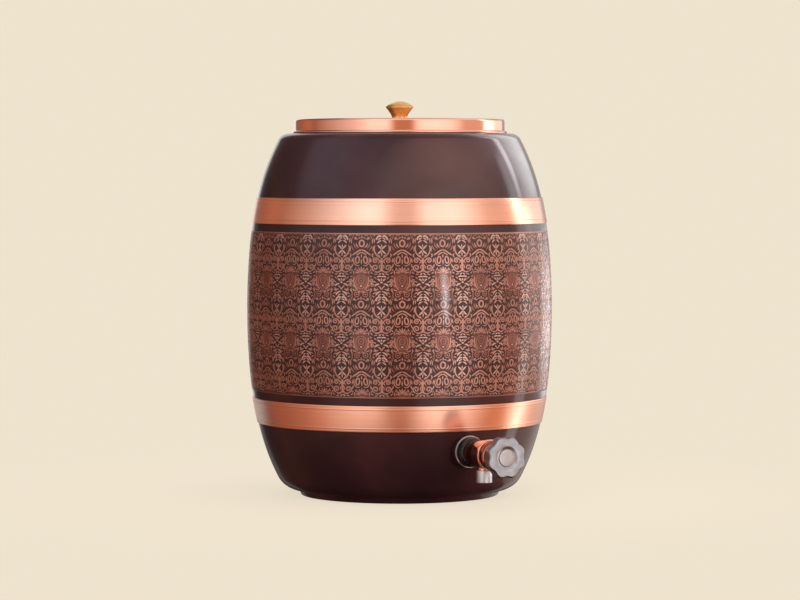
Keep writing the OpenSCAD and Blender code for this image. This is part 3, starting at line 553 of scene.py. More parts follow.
new_object("tap_bell", np.vstack([on_tap(verts), spout + spout_at]), faces, (TAP_COPPER, COPPER_PAINTED_SHADE),
           "vessel", ("tap_body",), mats)

neck_s = BONNET_FRONT - BONNET_NECK_L
profile = [(STEM_HOLE_R, SPIGOT_S), (SPIGOT_R, SPIGOT_S), (SPIGOT_R, BONNET_S)] + rounded([
    (BONNET_R, BONNET_S, 0.4), (BONNET_R, neck_s, 2.4), (BONNET_NECK_R, neck_s, 0.3),
    (BONNET_NECK_R, BONNET_FRONT, 0.4), (SPINDLE_HOLE_R, BONNET_FRONT, 0)], 8)
profile += [(SPINDLE_HOLE_R, BONNET_S - 0.2), (STEM_HOLE_R, BONNET_S - 0.2)]
# The bonnet collar is all in the darker copper: painted shade
tap_piece("bonnet_collar", ("bonnet",), profile, COPPER_PAINTED_SHADE, "vessel")

sleeve_r = SPOUT_R + FIT
profile = rounded([
    (SPOUT_BORE_R, NOZZLE_LOW, 0.3), (NOZZLE_R, NOZZLE_LOW, 0.6), (NOZZLE_R, NOZZLE_TOP, 0.6),
    (sleeve_r, NOZZLE_TOP, 0), (sleeve_r, SPOUT_LOW, 0), (SPOUT_BORE_R, SPOUT_LOW, 0)])
verts, faces, _ = turned(profile, 96)
new_object("nozzle", verts + spout_at, faces, (CHROME,), "vessel", ("spout_nozzle",))


# Tap knob with eight soft lobes and a dished ring round its cap
def level(radius):
    return np.full(SEGMENTS, radius)


phi, half = np.arange(SEGMENTS) * 2 * pi / SEGMENTS, pi / LOBES
part = (phi + half) % (2 * half) - half
reach = KNOB_R - HOLLOW_DEPTH + HOLLOW_R
aside = reach * np.sin(part)
hollow = reach * np.cos(part) - np.sqrt(np.clip(HOLLOW_R ** 2 - aside ** 2, 0, None))
lobed = np.where(np.abs(aside) < HOLLOW_R, np.minimum(hollow, KNOB_R), KNOB_R)
shifts = range(-16, 17)
weight = np.exp(-0.5 * (np.array(shifts) / 5.0) ** 2)
lobed = sum(w * np.roll(lobed, k) for k, w in zip(shifts, weight)) / weight.sum()
lobed = lobed * (KNOB_R / lobed.max())
rim, edge_s, bore_s = lobed - KNOB_EDGE, KNOB_FRONT - KNOB_EDGE, KNOB_S + KNOB_BORE_L
layers = [(level(SPINDLE_HOLE_R), bore_s), (level(SPINDLE_HOLE_R), KNOB_S)]
layers += [(np.minimum(lobed, KNOB_BACK_R), KNOB_S)]
for d in np.linspace(0, 3.1, 7):
    layers.append((np.minimum(lobed, KNOB_BACK_R + 0.4 + d * 1.02), KNOB_S + 0.25 + d))
layers += [(lobed, s) for s in np.linspace(KNOB_S + 3.7, edge_s, 6)]
for a in np.radians(np.linspace(12, 82, 7)):
    layers.append((lobed - KNOB_EDGE * (1 - cos(a)), edge_s + KNOB_EDGE * sin(a)))
layers += [(rim - k * (rim - DISH_R), KNOB_FRONT - 0.02 * (1 - k)) for k in (0.05, 0.5, 1.0)]
dish = ((DISH_R - 0.2, 0.06), (DISH_R - 0.45, 0.2), (RECESS_R + 0.2, 0.8), (RECESS_R, 0.9))
layers += [(level(r), KNOB_FRONT - d) for r, d in dish] + [(level(RECESS_R), RECESS_S)]
verts = [np.stack([r * np.cos(phi), r * np.sin(phi), level(s)], 1) for r, s in layers]
verts = np.vstack(verts + [[[0, 0, RECESS_S]], [[0, 0, bore_s]]])
steps = [(j, (j + 1) % SEGMENTS) for j in range(SEGMENTS)]
faces = []
for a in range(0, (len(layers) - 1) * SEGMENTS, SEGMENTS):
    b = a + SEGMENTS
    faces += [(a + j, a + k, b + k, b + j) for j, k in steps]
last = (len(layers) - 1) * SEGMENTS
faces += [(last + j, last + k, len(verts) - 2) for j, k in steps]
faces += [(k, j, len(verts) - 1) for j, k in steps]
new_object("knob", on_tap(verts), faces, (SATIN,), "knob", ("tap_knob",))

profile = [(0, RECESS_S), (CAP_R, RECESS_S)]
profile += arc((CAP_R - CAP_EDGE, CAP_FRONT - CAP_EDGE), CAP_EDGE, 0, 80, 6)
profile += [(r, CAP_FRONT + CAP_CROWN * (1 - (r / CAP_R) ** 2)) for r in (6.0, 5.0, 3.5, 2.0, 0)]
tap_piece("cap", ("knob_cap",), profile, CAP, "knob")

# Damask: raised copper strokes on the lacquer, in tiles of 32 by 49.2 that repeat 24 times round the barrel.
# Across a tile u runs from the first axis, 0, to the second, 16, and is mirrored; v runs down.
HALF_TILE, TILE_H, COLUMNS, AXIS = 16, 49.2, 24, radians(-124.5)
V_TOP, V_LOW = 9.8, 141.3
PALE, ROSE, DIM, FIELD = range(4)
WEIGHT, CURVE_STEPS = 1.22, 3
FIELD_LIFT, STROKE_LIFT, LIFT_STEP, ROOT = 0.07, 0.13, 0.01, 0.06
UV_SIDE, UV_END, UV_WALL = 0.3, 5, (0.004, -0.35)
FIELD_STEP, FIELD_U, FIELD_V, FIELD_MIDDLE, FIELD_HALF = 1.5, 8, 10.4, 46.8, 0.62
EDGE_GAP, EDGE_HALF, EDGE_ROUND, EDGE_OUT = 0.5, 0.55, 0.12, 0.18


def curve(points):
    """A smooth curve through the points."""
    p = np.array([points[0], *points, points[-1]], float)
    out = []
    for i in range(1, len(p) - 2):
        for t in np.arange(CURVE_STEPS) / CURVE_STEPS:
            out.append(0.5 * (2 * p[i] + (p[i + 1] - p[i - 1]) * t
                              + (2 * p[i - 1] - 5 * p[i] + 4 * p[i + 1] - p[i + 2]) * t * t
                              + (3 * p[i] - p[i - 1] - 3 * p[i + 1] + p[i + 2]) * t ** 3))
    return np.array([*out, p[-2]])


# Each of these gives the middle line of a stroke and its half widths
def stroke(points, w):
    line = curve(points)
    t = np.linspace(0, 1, len(line))
    return line, w * np.clip(np.minimum(t, 1 - t) / 0.12, 0.35, 1)


def leaf(a, b, w, bend=0.0):
    a, b = np.array(a, float), np.array(b, float)
    t = np.linspace(0, 1, 5)
    across = np.array([b[1] - a[1], a[0] - b[0]])
    line = a + np.outer(t, b - a) + np.outer(4 * t * (1 - t) * bend, across)
    return line, w * np.maximum(np.sin(np.pi * t) ** 0.75, 0.12)


def spiral(c, r, start, turns, w, n=12):
    t = np.linspace(0, 1, n)
    a = 2 * pi * (start + turns * t)
    off = r * (1 - (1 - 0.18) * t)
    return np.array(c) + np.stack([off * np.cos(a), off * np.sin(a)], 1), w * np.clip(1.1 - 0.35 * t, 0, 1)


def oval(c, ru, rv, w, lean=0.0):
    a = np.linspace(0, 2 * pi, 11)
    x, y, s, k = ru * np.cos(a), rv * np.sin(a), sin(lean), cos(lean)
    return np.array(c) + np.stack([x * k - y * s, x * s + y * k], 1), np.full(len(a), w)


def dot(c, r):
    t = np.linspace(-1, 1, 5)
    return np.array(c) + np.stack([0 * t, r * t], 1), r * np.sqrt(np.clip(1 - (t * 0.97) ** 2, 0, None))


def far(off, v):
    """The point that lies off from the second axis."""
    return (HALF_TILE - off, v)


def damask_strokes():
    """(tint, line, half widths) of the strokes of one tile."""
    two, one = [], []

    def pair(tint, *strokes):
        two.extend((tint, line, w * WEIGHT) for line, w in strokes)

    def single(tint, *strokes):
        one.extend((tint, line, w * WEIGHT) for line, w in strokes)

    # bright bud and flower on the first axis, with crossing stems
    single(PALE, dot((0, -0.9), 0.75), leaf((0, -4.2), (0, -2.2), 0.45))
    pair(PALE, leaf((1.0, -1.7), (3.4, -3.6), 0.46, 0.12), leaf((1.4, 0.3), (5.4, 2.4), 0.58, 0.16))
    pair(ROSE, stroke([(2.6, 1.9), (1.2, 3.0), (0, 4.8)], 0.4))
    pair(ROSE, stroke([(2.4, 4.6), (4.4, 4.8), (5.8, 3.4)], 0.38))
    pair(ROSE, leaf((4.2, -0.6), (6.8, -1.8), 0.42, 0.1), spiral((7.2, 1.6), 1.5, 0.5, 1.1, 0.34, 8))
    pair(ROSE, leaf((3.6, 6.2), (6.6, 5.2), 0.42, 0.1))
    # inverted chevrons
    pair(PALE, leaf((0.3, 6.2), (4.6, 9.8), 0.5, 0.14), leaf((0.2, 8.4), (2.8, 10.3), 0.36, 0.1))
    pair(ROSE, leaf((3.4, 7.4), (6.8, 8.6), 0.42, 0.12), leaf((5.2, 11.0), (7.4, 9.8), 0.4))
    pair(ROSE, leaf((7.0, 4.6), (8.6, 7.4), 0.4, 0.12))
    # cartouche: arch, slanting leaves, cross flower on the dark ground, outline
    pair(PALE, stroke([(0.3, 11.4), (2.0, 10.9), (3.6, 12.0), (4.4, 14.2)], 0.55))
    pair(PALE, leaf((0.3, 12.3), (2.9, 14.3), 0.42, 0.1), leaf((0.3, 14.5), (3.7, 17.0), 0.46, 0.12))
    pair(ROSE, leaf((5.2, 12.8), (5.9, 16.6), 0.4, 0.1), leaf((6.5, 12.2), (7.3, 17.4), 0.38, 0.1))
    pair(PALE, leaf((0.1, 21.9), (3.6, 18.2), 0.52, 0.05), leaf((0.1, 22.1), (3.5, 25.6), 0.52, -0.05))
    single(PALE, leaf((0, 17.6), (0, 20.4), 0.3), leaf((0, 23.6), (0, 27.2), 0.32))
    pair(ROSE, stroke([(5.3, 18.2), (6.0, 21.0), (5.4, 24.0), (3.6, 26.6), (0.6, 28.6)], 0.4))
    pair(ROSE, leaf((1.3, 27.4), (2.7, 26.2), 0.34), leaf((7.0, 18.8), (7.2, 23.6), 0.36, -0.08))
    pair(ROSE, leaf((6.4, 24.8), (8.0, 27.0), 0.36))
    # trunk with two pairs of scrolls, and its cap
    trunk = np.array([(0, 28.8), (0, 31), (0, 33.5), (0, 36), (0, 39.4)], float)
    single(ROSE, (trunk, WEIGHT * np.array([0.4, 0.7, 0.5, 0.5, 0.8])))
    pair(ROSE, stroke([(0.5, 32.4), (1.8, 30.6), (3.4, 29.0), (4.9, 28.6)], 0.4))
    pair(ROSE, spiral((4.9, 30.7), 2.1, 0.75, 1.3, 0.38))
    pair(ROSE, stroke([(0.4, 38.0), (1.6, 39.5), (3.4, 40.0), (5.4, 39.4)], 0.4))
    pair(ROSE, spiral((5.0, 36.5), 2.8, 0.2, -1.35, 0.42))
    pair(ROSE, stroke([(0.9, 34.0), (1.8, 35.6), (1.6, 37.2)], 0.32))
    pair(ROSE, leaf((1.1, 31.4), (2.7, 33.2), 0.36, 0.1))
    pair(PALE, leaf((0.2, 40.7), (2.2, 42.2), 0.38), stroke([(0, 43.6), (1.8, 43.4), (3.6, 43.9)], 0.42))
    pair(ROSE, leaf((2.9, 41.5), (5.8, 42.3), 0.38, 0.1), leaf((4.0, 45.6), (6.0, 44.0), 0.4, 0.1))
    pair(ROSE, leaf((1.0, 46.2), (3.0, 45.2), 0.34))
    # ringed bud between slanting leaves, and roofs, on the second axis
    single(ROSE, oval(far(0, 16.9), 2.0, 2.6, 0.5), leaf(far(0, 10.4), far(0, 13.2), 0.42))
    pair(ROSE, leaf(far(2.2, 20.4), far(4.6, 16.6), 0.46, 0.14))
    pair(ROSE, leaf(far(3.2, 13.8), far(6.4, 13.4), 0.44, -0.12))
    pair(DIM, leaf(far(3.9, 21.2), far(6.6, 16.2), 0.42, 0.12))
    pair(DIM, leaf(far(5.8, 22.6), far(8.2, 18.4), 0.42, 0.12))
    pair(ROSE, stroke([far(0, 22.0), far(2.4, 22.9), far(4.6, 24.5), far(7.4, 26.4)], 0.46))
    pair(ROSE, stroke([far(0, 24.2), far(1.8, 24.8), far(4.0, 26.6)], 0.38))
    pair(ROSE, leaf(far(8.4, 25.4), far(9.6, 28.4), 0.38, 0.1))
    pair(ROSE, leaf(far(1.0, 11.8), far(3.2, 12.8), 0.38, 0.1))
    pair(ROSE, leaf(far(4.4, 11.6), far(6.6, 12.6), 0.36, 0.1))
    # pair of leaning ovals
    pair(ROSE, oval(far(3.2, 30.2), 1.5, 2.8, 0.44, 0.14))
    pair(ROSE, stroke([far(5.9, 28.0), far(6.4, 30.6), far(5.7, 33.2), far(3.6, 34.9), far(1.4, 34.4)], 0.3))
    single(ROSE, leaf(far(0, 25.6), far(0, 28.6), 0.4), leaf(far(0, 29.4), far(0, 34.0), 0.42))
    pair(ROSE, leaf(far(7.6, 28.6), far(7.8, 32.4), 0.4, 0.1))
    pair(ROSE, leaf(far(6.6, 34.0), far(8.0, 36.8), 0.4, -0.1))
    # paler oval field, laid in upright strips, behind the palmette and the medallion
    for off in np.arange(6) * FIELD_STEP:
        v = np.linspace(-1, 1, 5) * FIELD_V * sqrt(1 - (off / FIELD_U) ** 2) + FIELD_MIDDLE
        strip = np.stack([np.full(5, HALF_TILE - off), v], 1), np.full(5, FIELD_HALF)
        (pair if off else single)(FIELD, strip)
    # palmette over the shell medallion
    single(ROSE, leaf(far(0, 41.0), far(0, 35.2), 0.42))
    for turn, reach in ((0.42, 6.0), (0.86, 5.8), (1.28, 5.6)):
        s, k = sin(turn), cos(turn)
        pair(ROSE, leaf(far(1.6 * s, 41.6 - 1.6 * k), far(reach * s, 41.6 - reach * k), 0.4, -0.06))
    pair(ROSE, leaf(far(4.4, 36.2), far(5.6, 38.6), 0.38, 0.1))
    pair(ROSE, leaf(far(6.6, 38.6), far(6.2, 41.8), 0.38, 0.1))
    pair(DIM, stroke([far(0, 42.5), far(2.6, 43.3), far(4.1, 46.0), far(3.8, 49.8), far(2.0, 52.6),
                      far(0, 53.6)], 0.44))
    pair(DIM, stroke([far(0, 44.4), far(1.6, 45.0), far(2.2, 46.8), far(1.4, 48.6), far(0, 49.2)], 0.42))
    pair(DIM, leaf(far(1.2, 50.2), far(2.8, 49.4), 0.36))
    single(PALE, dot(far(0, 51.2), 0.7))
    single(DIM, dot(far(0, 46.8), 0.55))
    pair(ROSE, stroke([far(5.6, 43.4), far(5.8, 47.6), far(4.7, 51.6), far(2.6, 54.4)], 0.38))
    pair(ROSE, leaf(far(0.8, 54.9), far(3.4, 56.4), 0.38, 0.1))
    # rosettes under the medallion
    pair(DIM, oval(far(3.4, 8.8), 1.9, 2.0, 0.36), leaf(far(0.3, 5.6), far(1.5, 7.8), 0.36, 0.1))
    pair(ROSE, dot(far(3.4, 8.8), 0.5))
    pair(DIM, stroke([far(6.6, 6.6), far(7.3, 9.2), far(6.6, 11.6)], 0.34))
    pair(ROSE, stroke([far(3.8, 5.6), far(5.4, 5.6), far(6.8, 4.6)], 0.38))
    pair(ROSE, leaf(far(7.8, 3.4), far(8.0, 6.4), 0.38), leaf(far(5.0, 2.6), far(6.8, 0.8), 0.4, 0.1))
    # fillings between the axes
    pair(ROSE, spiral((7.8, 46.6), 1.6, 0.0, 1.2, 0.36, 10), leaf((6.2, 48.6), (8.8, 50.0), 0.4, 0.15))
    pair(ROSE, leaf((9.2, 43.0), (7.2, 43.8), 0.38), leaf((8.9, 33.2), (8.1, 36.2), 0.4, 0.1))
    pair(ROSE, leaf((8.6, 39.6), (6.6, 41.2), 0.4, 0.1), leaf((8.7, 37.4), (8.3, 39.2), 0.36))
    pair(DIM, leaf((7.6, 10.8), (8.4, 13.8), 0.4, 0.1), dot((7.9, 31.2), 0.45), dot((3.0, 34.0), 0.35))
    return two + [(tint, line * [-1, 1], w) for tint, line, w in two] + one


def clipped(line, w, low, high):
    """The runs of a stroke whose v lies between low and high."""
    rows = np.column_stack([line, w])
    run = []
    for a, b in zip(rows[:-1], rows[1:]):
        crossed = [v for v in (low, high) if (a[1] - v) * (b[1] - v) < 0]
        cuts = sorted({0.0, 1.0} | {float((v - a[1]) / (b[1] - a[1])) for v in crossed})
        for t0, t1 in zip(cuts[:-1], cuts[1:]):
            p, q = a + (b - a) * t0, a + (b - a) * t1
            if low <= (p[1] + q[1]) / 2 <= high:
                if not run:
                    run = [p]
                run.append(q)
            elif run:
                yield np.array(run)
                run = []
    if run:
        yield np.array(run)


def damask_row(name, strokes, shifts):
    """One row of raised strokes: flat ribbons with walls that reach into the lacquer."""
    verts, norms, quads, uvs, tints = [], [], [], [], []
    count = 0
    for k, (tint, line, w) in enumerate(strokes):
        lift = FIELD_LIFT if tint == FIELD else STROKE_LIFT + LIFT_STEP * (k % 5)
        for shift in shifts:
            for run in clipped(line + [0, shift], w, V_TOP, V_LOW):
                n = len(run)
                d = np.gradient(run[:, :2], axis=0)
                d /= np.maximum(np.linalg.norm(d, axis=1, keepdims=True), 1e-9)
                across = np.stack([d[:, 1], -d[:, 0]], 1) * run[:, 2:3]
                flat = np.concatenate([run[:, :2] + across, run[:, :2] - across])
                turn = AXIS + flat[:, 0] / HALF_TILE * pi / COLUMNS
                z = DAMASK_TOP - (flat[:, 1] - V_TOP) * (DAMASK_TOP - DAMASK_LOW) / (V_LOW - V_TOP)
                r, lean = side_parts(z)
                out = np.stack([np.cos(lean) * np.cos(turn), np.cos(lean) * np.sin(turn), np.sin(lean)], 1)
                base = np.stack([r * np.cos(turn), r * np.sin(turn), z], 1)
                verts.append(np.concatenate([base + out * lift, base - out * ROOT]))
                norms.append(np.concatenate([out, out]))
                # the four long edges: left and right on top, then left and right at the root
                edges = count + n * np.arange(4)
                lt, rt, lb, rb = (edge + np.arange(n - 1) for edge in edges)
                ends = [edges[[2, 3, 1, 0]], edges[[3, 2, 0, 1]] + n - 1]
                quads.append(np.concatenate([
                    np.stack([lt, rt, rt + 1, lt + 1], 1), np.stack([rb, rb + 1, rt + 1, rt], 1),
                    np.stack([lb + 1, lb, lt, lt + 1], 1), np.stack([lb, lb + 1, rb + 1, rb], 1), ends]))
                tints += [tint] * len(quads[-1])
                place = np.stack([turn, z], 1)
                uvs.append(np.concatenate([place, place + np.concatenate([across, -across]) * UV_WALL]))
                count += 4 * n
    verts, norms, quads, uvs = (np.concatenate(rows) for rows in (verts, norms, quads, uvs))
    all_v, all_n, all_q, all_uv = [], [], [], []
    for c in range(COLUMNS):
        a = 2 * pi * c / COLUMNS
        m = np.array([[cos(a), -sin(a), 0], [sin(a), cos(a), 0], [0, 0, 1]])
        all_v.append(verts @ m.T)
        all_n.append(norms @ m.T)
        all_q.append(quads + c * len(verts))
        all_uv.append(uvs + [a, 0])
    u, v = np.concatenate(all_uv).T
    uv = np.stack([(u - AXIS + UV_SIDE) / (2 * pi + 2 * UV_SIDE),
                   (v - DAMASK_LOW + UV_END) / (DAMASK_TOP - DAMASK_LOW + 2 * UV_END)], 1)
    obj = new_object(name, np.concatenate(all_v), np.concatenate(all_q).tolist(),
                     (DAMASK_PALE, DAMASK, DAMASK_DIM, DAMASK_FIELD), "vessel",
                     face_material=tints * COLUMNS, sharp=0)
    obj.data.normals_split_custom_set_from_vertices(np.concatenate(all_n).tolist())
    corner = np.empty(len(obj.data.loops), np.int32)
    obj.data.loops.foreach_get("vertex_index", corner)
    obj.data.uv_layers.new(name="OFBake").data.foreach_set("uv", uv[corner].ravel())


strokes = damask_strokes()
damask_row("damask_high", strokes, (-TILE_H, 0.0))
damask_row("damask_middle", strokes, (TILE_H,))
damask_row("damask_low", strokes, (2 * TILE_H,))

# Thin raised line along each edge of the damask
for name, z, material in (
    ("damask_edge_high", DAMASK_TOP + EDGE_GAP, DAMASK),
    ("damask_edge_low", DAMASK_LOW - EDGE_GAP, DAMASK_DIM),
):
    a, b = z - EDGE_HALF, z + EDGE_HALF
    corners = ((a, -ROOT), (a, EDGE_ROUND), (a + EDGE_ROUND, EDGE_OUT),
               (b - EDGE_ROUND, EDGE_OUT), (b, EDGE_ROUND), (b, -ROOT))
    profile = [tuple(side(height, out)) for height, out in corners]
    barrel_piece(name, (), profile, material, "vessel")

# Camera at the photograph's angle, in metres
VIEW, CENTRE = radians(-28), Vector((0, 0, 0.156))
CAMERA_FAR, CAMERA_Z, AIM_RIGHT = 2.5, 0.2639, 0.0004
away = Vector((sin(VIEW), -cos(VIEW), 0))
right = Vector((cos(VIEW), sin(VIEW), 0))
cam = bpy.data.objects.new("camera", bpy.data.cameras.new("camera"))
scene.collection.objects.link(cam)
cam.data.lens, cam.data.sensor_width = 140, 36
cam.data.clip_start, cam.data.clip_end = 0.05, 50
cam.location = away * CAMERA_FAR + Vector((0, 0, CAMERA_Z))
cam.rotation_euler = (CENTRE + right * AIM_RIGHT - cam.location).to_track_quat("-Z", "Y").to_euler()
scene.camera = cam

# Soft studio light: a dim warm room with white panels round the object. Each ring of panels is a row of
# (degrees from the camera's side, strength, warmth) at one height, and the rings blend into each other.
RINGS = {
    "low": (
        (-180, 0.02), (-167, 0.02), (-162, 0.22), (-156, 0.22), (-150, 0.05), (-128, 0.0), (-90, 0.06, 1),
        (-66, 0.34, 1), (-40, 0.85), (-16, 0.92), (-8, 0.16, 1.6), (9, 0.16, 1.6), (18, 1.15), (35, 2.0),
        (56, 1.1), (70, 0.3, 1.7), (101, 0.3, 1.7), (105, 3.2), (113, 3.2), (118, 0.55, 0.5),
        (150, 0.62, 0.2), (164, 0.5), (172, 0.02), (180, 0.02)),
    "level": (
        (-180, 0.5), (-170, 1.1), (-162, 1.1), (-156, 0.12), (-140, 0.03), (-126, 0.02), (-104, 0.06),
        (-76, 0.36), (-50, 0.66), (-32, 1.1), (-14, 1.15), (-4, 0.28, 1.1), (12, 0.28, 1.1), (22, 1.1),
        (40, 1.25), (60, 1.05), (76, 0.52, 0.5), (103, 0.52, 0.5), (107, 2.3), (122, 2.3), (128, 1.3),
        (150, 1.1), (156, 0.3), (166, 0.5), (180, 0.5)),
    "upper": (
        (-180, 0.8), (-172, 1.1), (-163, 1.1), (-157, 0.1), (-140, 0.12, 1), (-104, 0.2, 1), (-76, 0.52, 0.5),
        (-50, 0.95), (-30, 1.5), (-14, 1.5), (-6, 0.74, 0.5), (11, 0.74, 0.5), (20, 1.4), (45, 1.55),
        (60, 1.2, 0.2), (74, 0.74, 0.6), (101, 0.74, 0.6), (105, 3.6), (111, 3.6), (115, 0.7, 0.4),
        (156, 0.5, 0.3), (166, 0.8), (180, 0.8)),
    "high": (
        (-180, 0.85), (-160, 0.85), (-155, 0.1), (-112, 0.1), (-90, 0.25), (-54, 0.6), (-30, 1.2),
        (-12, 1.3, 0.4), (8, 1.1, 0.6), (24, 1.2, 0.7), (64, 1.2, 0.7), (107, 1.0, 0.3), (120, 0.85),
        (180, 0.85)),
}
TINT = {"low": (1, 0.95, 0.89), "level": (1, 0.98, 0.96), "upper": (1, 0.99, 0.98), "high": (1, 0.93, 1.03)}
WARM, PEAK = (0, 0.38, 0.6), 4.0
DARK, OVERHEAD = (0, 0, 0, 1), (0.17, 0.155, 0.14, 1)
ROOM, UNDER, ABOVE = (0.33, 0.12, 0.066, 1), (0.045, 0.018, 0.014, 1), (0.06, 0.05, 0.06, 1)

world = bpy.data.worlds.new("studio")
scene.world = world
world.use_nodes = True
sky = world.node_tree
sky.nodes.remove(sky.nodes["Background"])
ray = add_node(sky, "TexCoord").outputs["Generated"]
ray = add_node(sky, "VectorMath", ray, operation="NORMALIZE").outputs["Vector"]
ahead = add_node(sky, "VectorMath", ray, away, operation="DOT_PRODUCT").outputs["Value"]
aside = add_node(sky, "VectorMath", ray, right, operation="DOT_PRODUCT").outputs["Value"]
turn = add_node(sky, "Math", aside, ahead, operation="ARCTAN2").outputs["Value"]
turn = add_node(sky, "MapRange", turn, -pi, pi, 0.0, 1.0).outputs["Result"]
rise = add_node(sky, "SeparateXYZ", ray).outputs["Z"]


def ring_of_panels(name):
    n = add_node(sky, "ValToRGB", turn)
    band = n.color_ramp
    while len(band.elements) < len(RINGS[name]):
        band.elements.new(1.0)
    for e, (degrees, strength, *warmth) in zip(band.elements, RINGS[name]):
        e.position = (degrees + 180) / 360
        e.color = tuple(c * strength / PEAK * (1 - sum(warmth) * w) for c, w in zip(TINT[name], WARM)) + (1,)
    return n.outputs["Color"]


def blended(low, high, start, end):
    """From low to high between two heights in degrees."""
    start, end = sin(radians(start)), sin(radians(end))
    share = add_node(sky, "MapRange", rise, start, end, 0.0, 1.0, interpolation_type="SMOOTHSTEP")
    unused = [None] * 5
    return add_node(sky, "Mix", share.outputs["Result"], *unused, low, high, data_type="RGBA").outputs[2]


light = blended(DARK, ring_of_panels("low"), -31, -28)
light = blended(light, ring_of_panels("level"), -10, -4)
light = blended(light, ring_of_panels("upper"), 7, 15)
light = blended(light, ring_of_panels("high"), 25, 31)
light = blended(light, OVERHEAD, 52, 62)
panels = add_node(sky, "Background", light, PEAK)
front = add_node(sky, "MapRange", ahead, -0.82, -0.35, 0.1, 1.0, interpolation_type="SMOOTHSTEP")
walls = blended(blended(UNDER, ROOM, -52, -30), ABOVE, 12, 18)
room = add_node(sky, "Background", walls, front.outputs["Result"])
both = add_node(sky, "AddShader", room.outputs[0], panels.outputs[0])
sky.links.new(both.outputs[0], sky.nodes["World Output"].inputs["Surface"])
scene.view_settings.view_transform = "Standard"

# Lamps that light only some pieces: what they light, degrees from the camera's side, degrees up, width,
# height, roll in degrees, strength and colour. They give the streak on the belly, its pale right edge, the
# glow with its bright rim on the right of the shoulder, a warm sheen on its front, a cool one on its left,
# and light on the left ends of the lower hoop and of the upper hoop, the lid and the damask.
BARRELS, ROWS = ("barrel_lower", "barrel_upper"), ("damask_high", "damask_middle", "damask_low")
LIT = {"lit_lacquer": BARRELS, "lit_band": BARRELS + ROWS, "lit_hoop": ("hoop_low",),
       "lit_copper": ("hoop_high", "lid") + ROWS}
LAMP_FAR = 1.8
LAMPS = {
    "streak_lamp": ("lit_band", 33, 0.8, 0.18, 0.34, 12, 24, (1, 1, 1)),
    "edge_lamp": ("lit_band", 146, -3.5, 1.1, 0.5, 0, 3.2, (1, 1, 1)),
    "glow_lamp": ("lit_lacquer", 133, 31, 1.5, 1.7, 0, 4.2, (0.97, 0.98, 1)),
    "glint_lamp": ("lit_lacquer", 113.5, 31, 0.24, 1.4, 0, 10, (1, 0.96, 0.98)),
    "sheen_lamp": ("lit_lacquer", 38, 36, 4.4, 1.8, 0, 3.2, (1, 0.62, 0.52)),
    "cool_lamp": ("lit_lacquer", -70, 34, 1.7, 1.8, 0, 1.1, (0.35, 0.7, 1)),
    "hoop_lamp": ("lit_hoop", -142, -11, 1.0, 0.6, 0, 0.6, (0.8, 0.95, 1)),
    "warm_lamp": ("lit_copper", -132, 3, 1.7, 1.6, 0, 0.27, (1, 0.4, 0.24)),
}


def fade_to_edges(lamp):
    """Full strength in the lamp's middle, none along its edges."""
    lamp.use_nodes = True
    tree = lamp.node_tree
    place = add_node(tree, "NewGeometry").outputs["Parametric"]
    rest = add_node(tree, "VectorMath", (1, 1, 1), place, operation="SUBTRACT").outputs["Vector"]
    both = add_node(tree, "VectorMath", place, rest, operation="MULTIPLY").outputs["Vector"]
    apart = add_node(tree, "SeparateXYZ", both).outputs
    product = add_node(tree, "Math", apart["X"], apart["Y"], operation="MULTIPLY").outputs["Value"]
    full = add_node(tree, "Math", product, 4 * 4, operation="MULTIPLY").outputs["Value"]
    tree.links.new(full, tree.nodes["Emission"].inputs["Strength"])


for name, pieces in LIT.items():
    lit = bpy.data.collections.new(name)
    for piece in pieces:
        lit.objects.link(bpy.data.objects[piece])
for name, (lit, degrees, up, wide, tall, roll, strength, colour) in LAMPS.items():
    lamp = bpy.data.lights.new(name, "AREA")
    lamp.shape, lamp.size, lamp.size_y = "RECTANGLE", wide, tall
    lamp.energy = strength * pi * wide * tall
    lamp.color = colour
    fade_to_edges(lamp)
    lamp_at = bpy.data.objects.new(name, lamp)
    a, e = VIEW + radians(degrees), radians(up)
    towards = Vector((sin(a) * cos(e), -cos(a) * cos(e), sin(e)))
    lamp_at.location = CENTRE + LAMP_FAR * towards
    lamp_at.rotation_euler = (CENTRE - lamp_at.location).to_track_quat("-Z", "Y").to_euler()
    lamp_at.rotation_euler.rotate_axis("Z", radians(roll))
    lamp_at.visible_camera = False
    scene.collection.objects.link(lamp_at)
    lamp_at.light_linking.receiver_collection = bpy.data.collections[lit]

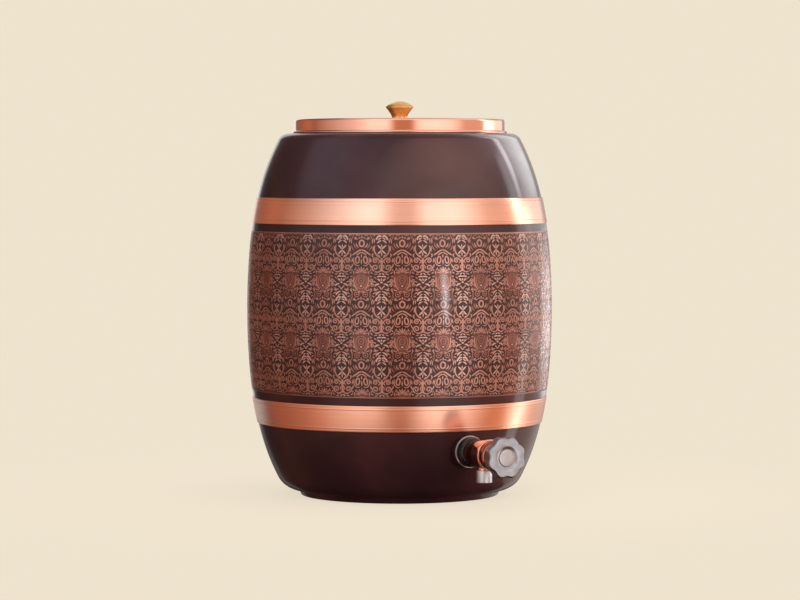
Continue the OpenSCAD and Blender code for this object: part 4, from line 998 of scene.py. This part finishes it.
# Pale floor that runs up into a backdrop all round, in metres
FLOOR_R, BEND_R, BACKDROP_H, SIDES = 3.0, 1.5, 4, 96
profile = [(r, 0) for r in (0.05, 0.1, 0.2, 0.4, 0.8, 1.6, FLOOR_R)]
for a in np.radians(np.linspace(10, 90, 9)):
    profile.append((FLOOR_R + BEND_R * sin(a), BEND_R - BEND_R * cos(a)))
profile += [(FLOOR_R + BEND_R, BACKDROP_H)]
verts = [(0, 0, 0)]
for r, h in profile:
    verts += [(r * cos(a), r * sin(a), h) for a in np.arange(SIDES) * 2 * pi / SIDES]
steps = [(j, (j + 1) % SIDES) for j in range(SIDES)]
faces = [(0, 1 + j, 1 + k) for j, k in steps]
for a in range(1, 1 + (len(profile) - 1) * SIDES, SIDES):
    b = a + SIDES
    faces += [(a + j, b + j, b + k, a + k) for j, k in steps]
mesh = bpy.data.meshes.new("backdrop")
mesh.from_pydata(verts, [], faces)
mesh.shade_smooth()
backdrop = bpy.data.objects.new("backdrop", mesh)
scene.collection.objects.link(backdrop)
mat = bpy.data.materials.new("backdrop")
mat.use_nodes = True
tree = mat.node_tree
tree.nodes.remove(tree.nodes["Principled BSDF"])
far_glow = add_node(tree, "Emission", (0.856, 0.77, 0.617, 1))
near_glow = add_node(tree, "Emission", (0.72, 0.655, 0.53, 1))
matt = add_node(tree, "BsdfDiffuse", (0.22, 0.2, 0.165, 1))
near = add_node(tree, "AddShader", near_glow.outputs[0], matt.outputs[0])
place = add_node(tree, "TexCoord").outputs["Object"]
far_off = add_node(tree, "VectorMath", place, operation="LENGTH").outputs["Value"]
fade = add_node(tree, "MapRange", far_off, 0.14, 0.42, interpolation_type="SMOOTHSTEP")
mix = add_node(tree, "MixShader", fade.outputs["Result"], near.outputs[0], far_glow.outputs[0])
tree.links.new(mix.outputs[0], tree.nodes["Material Output"].inputs["Surface"])
mesh.materials.append(mat)
backdrop.visible_glossy = False
backdrop.visible_diffuse = False
backdrop.visible_shadow = False

bpy.context.view_layer.update()
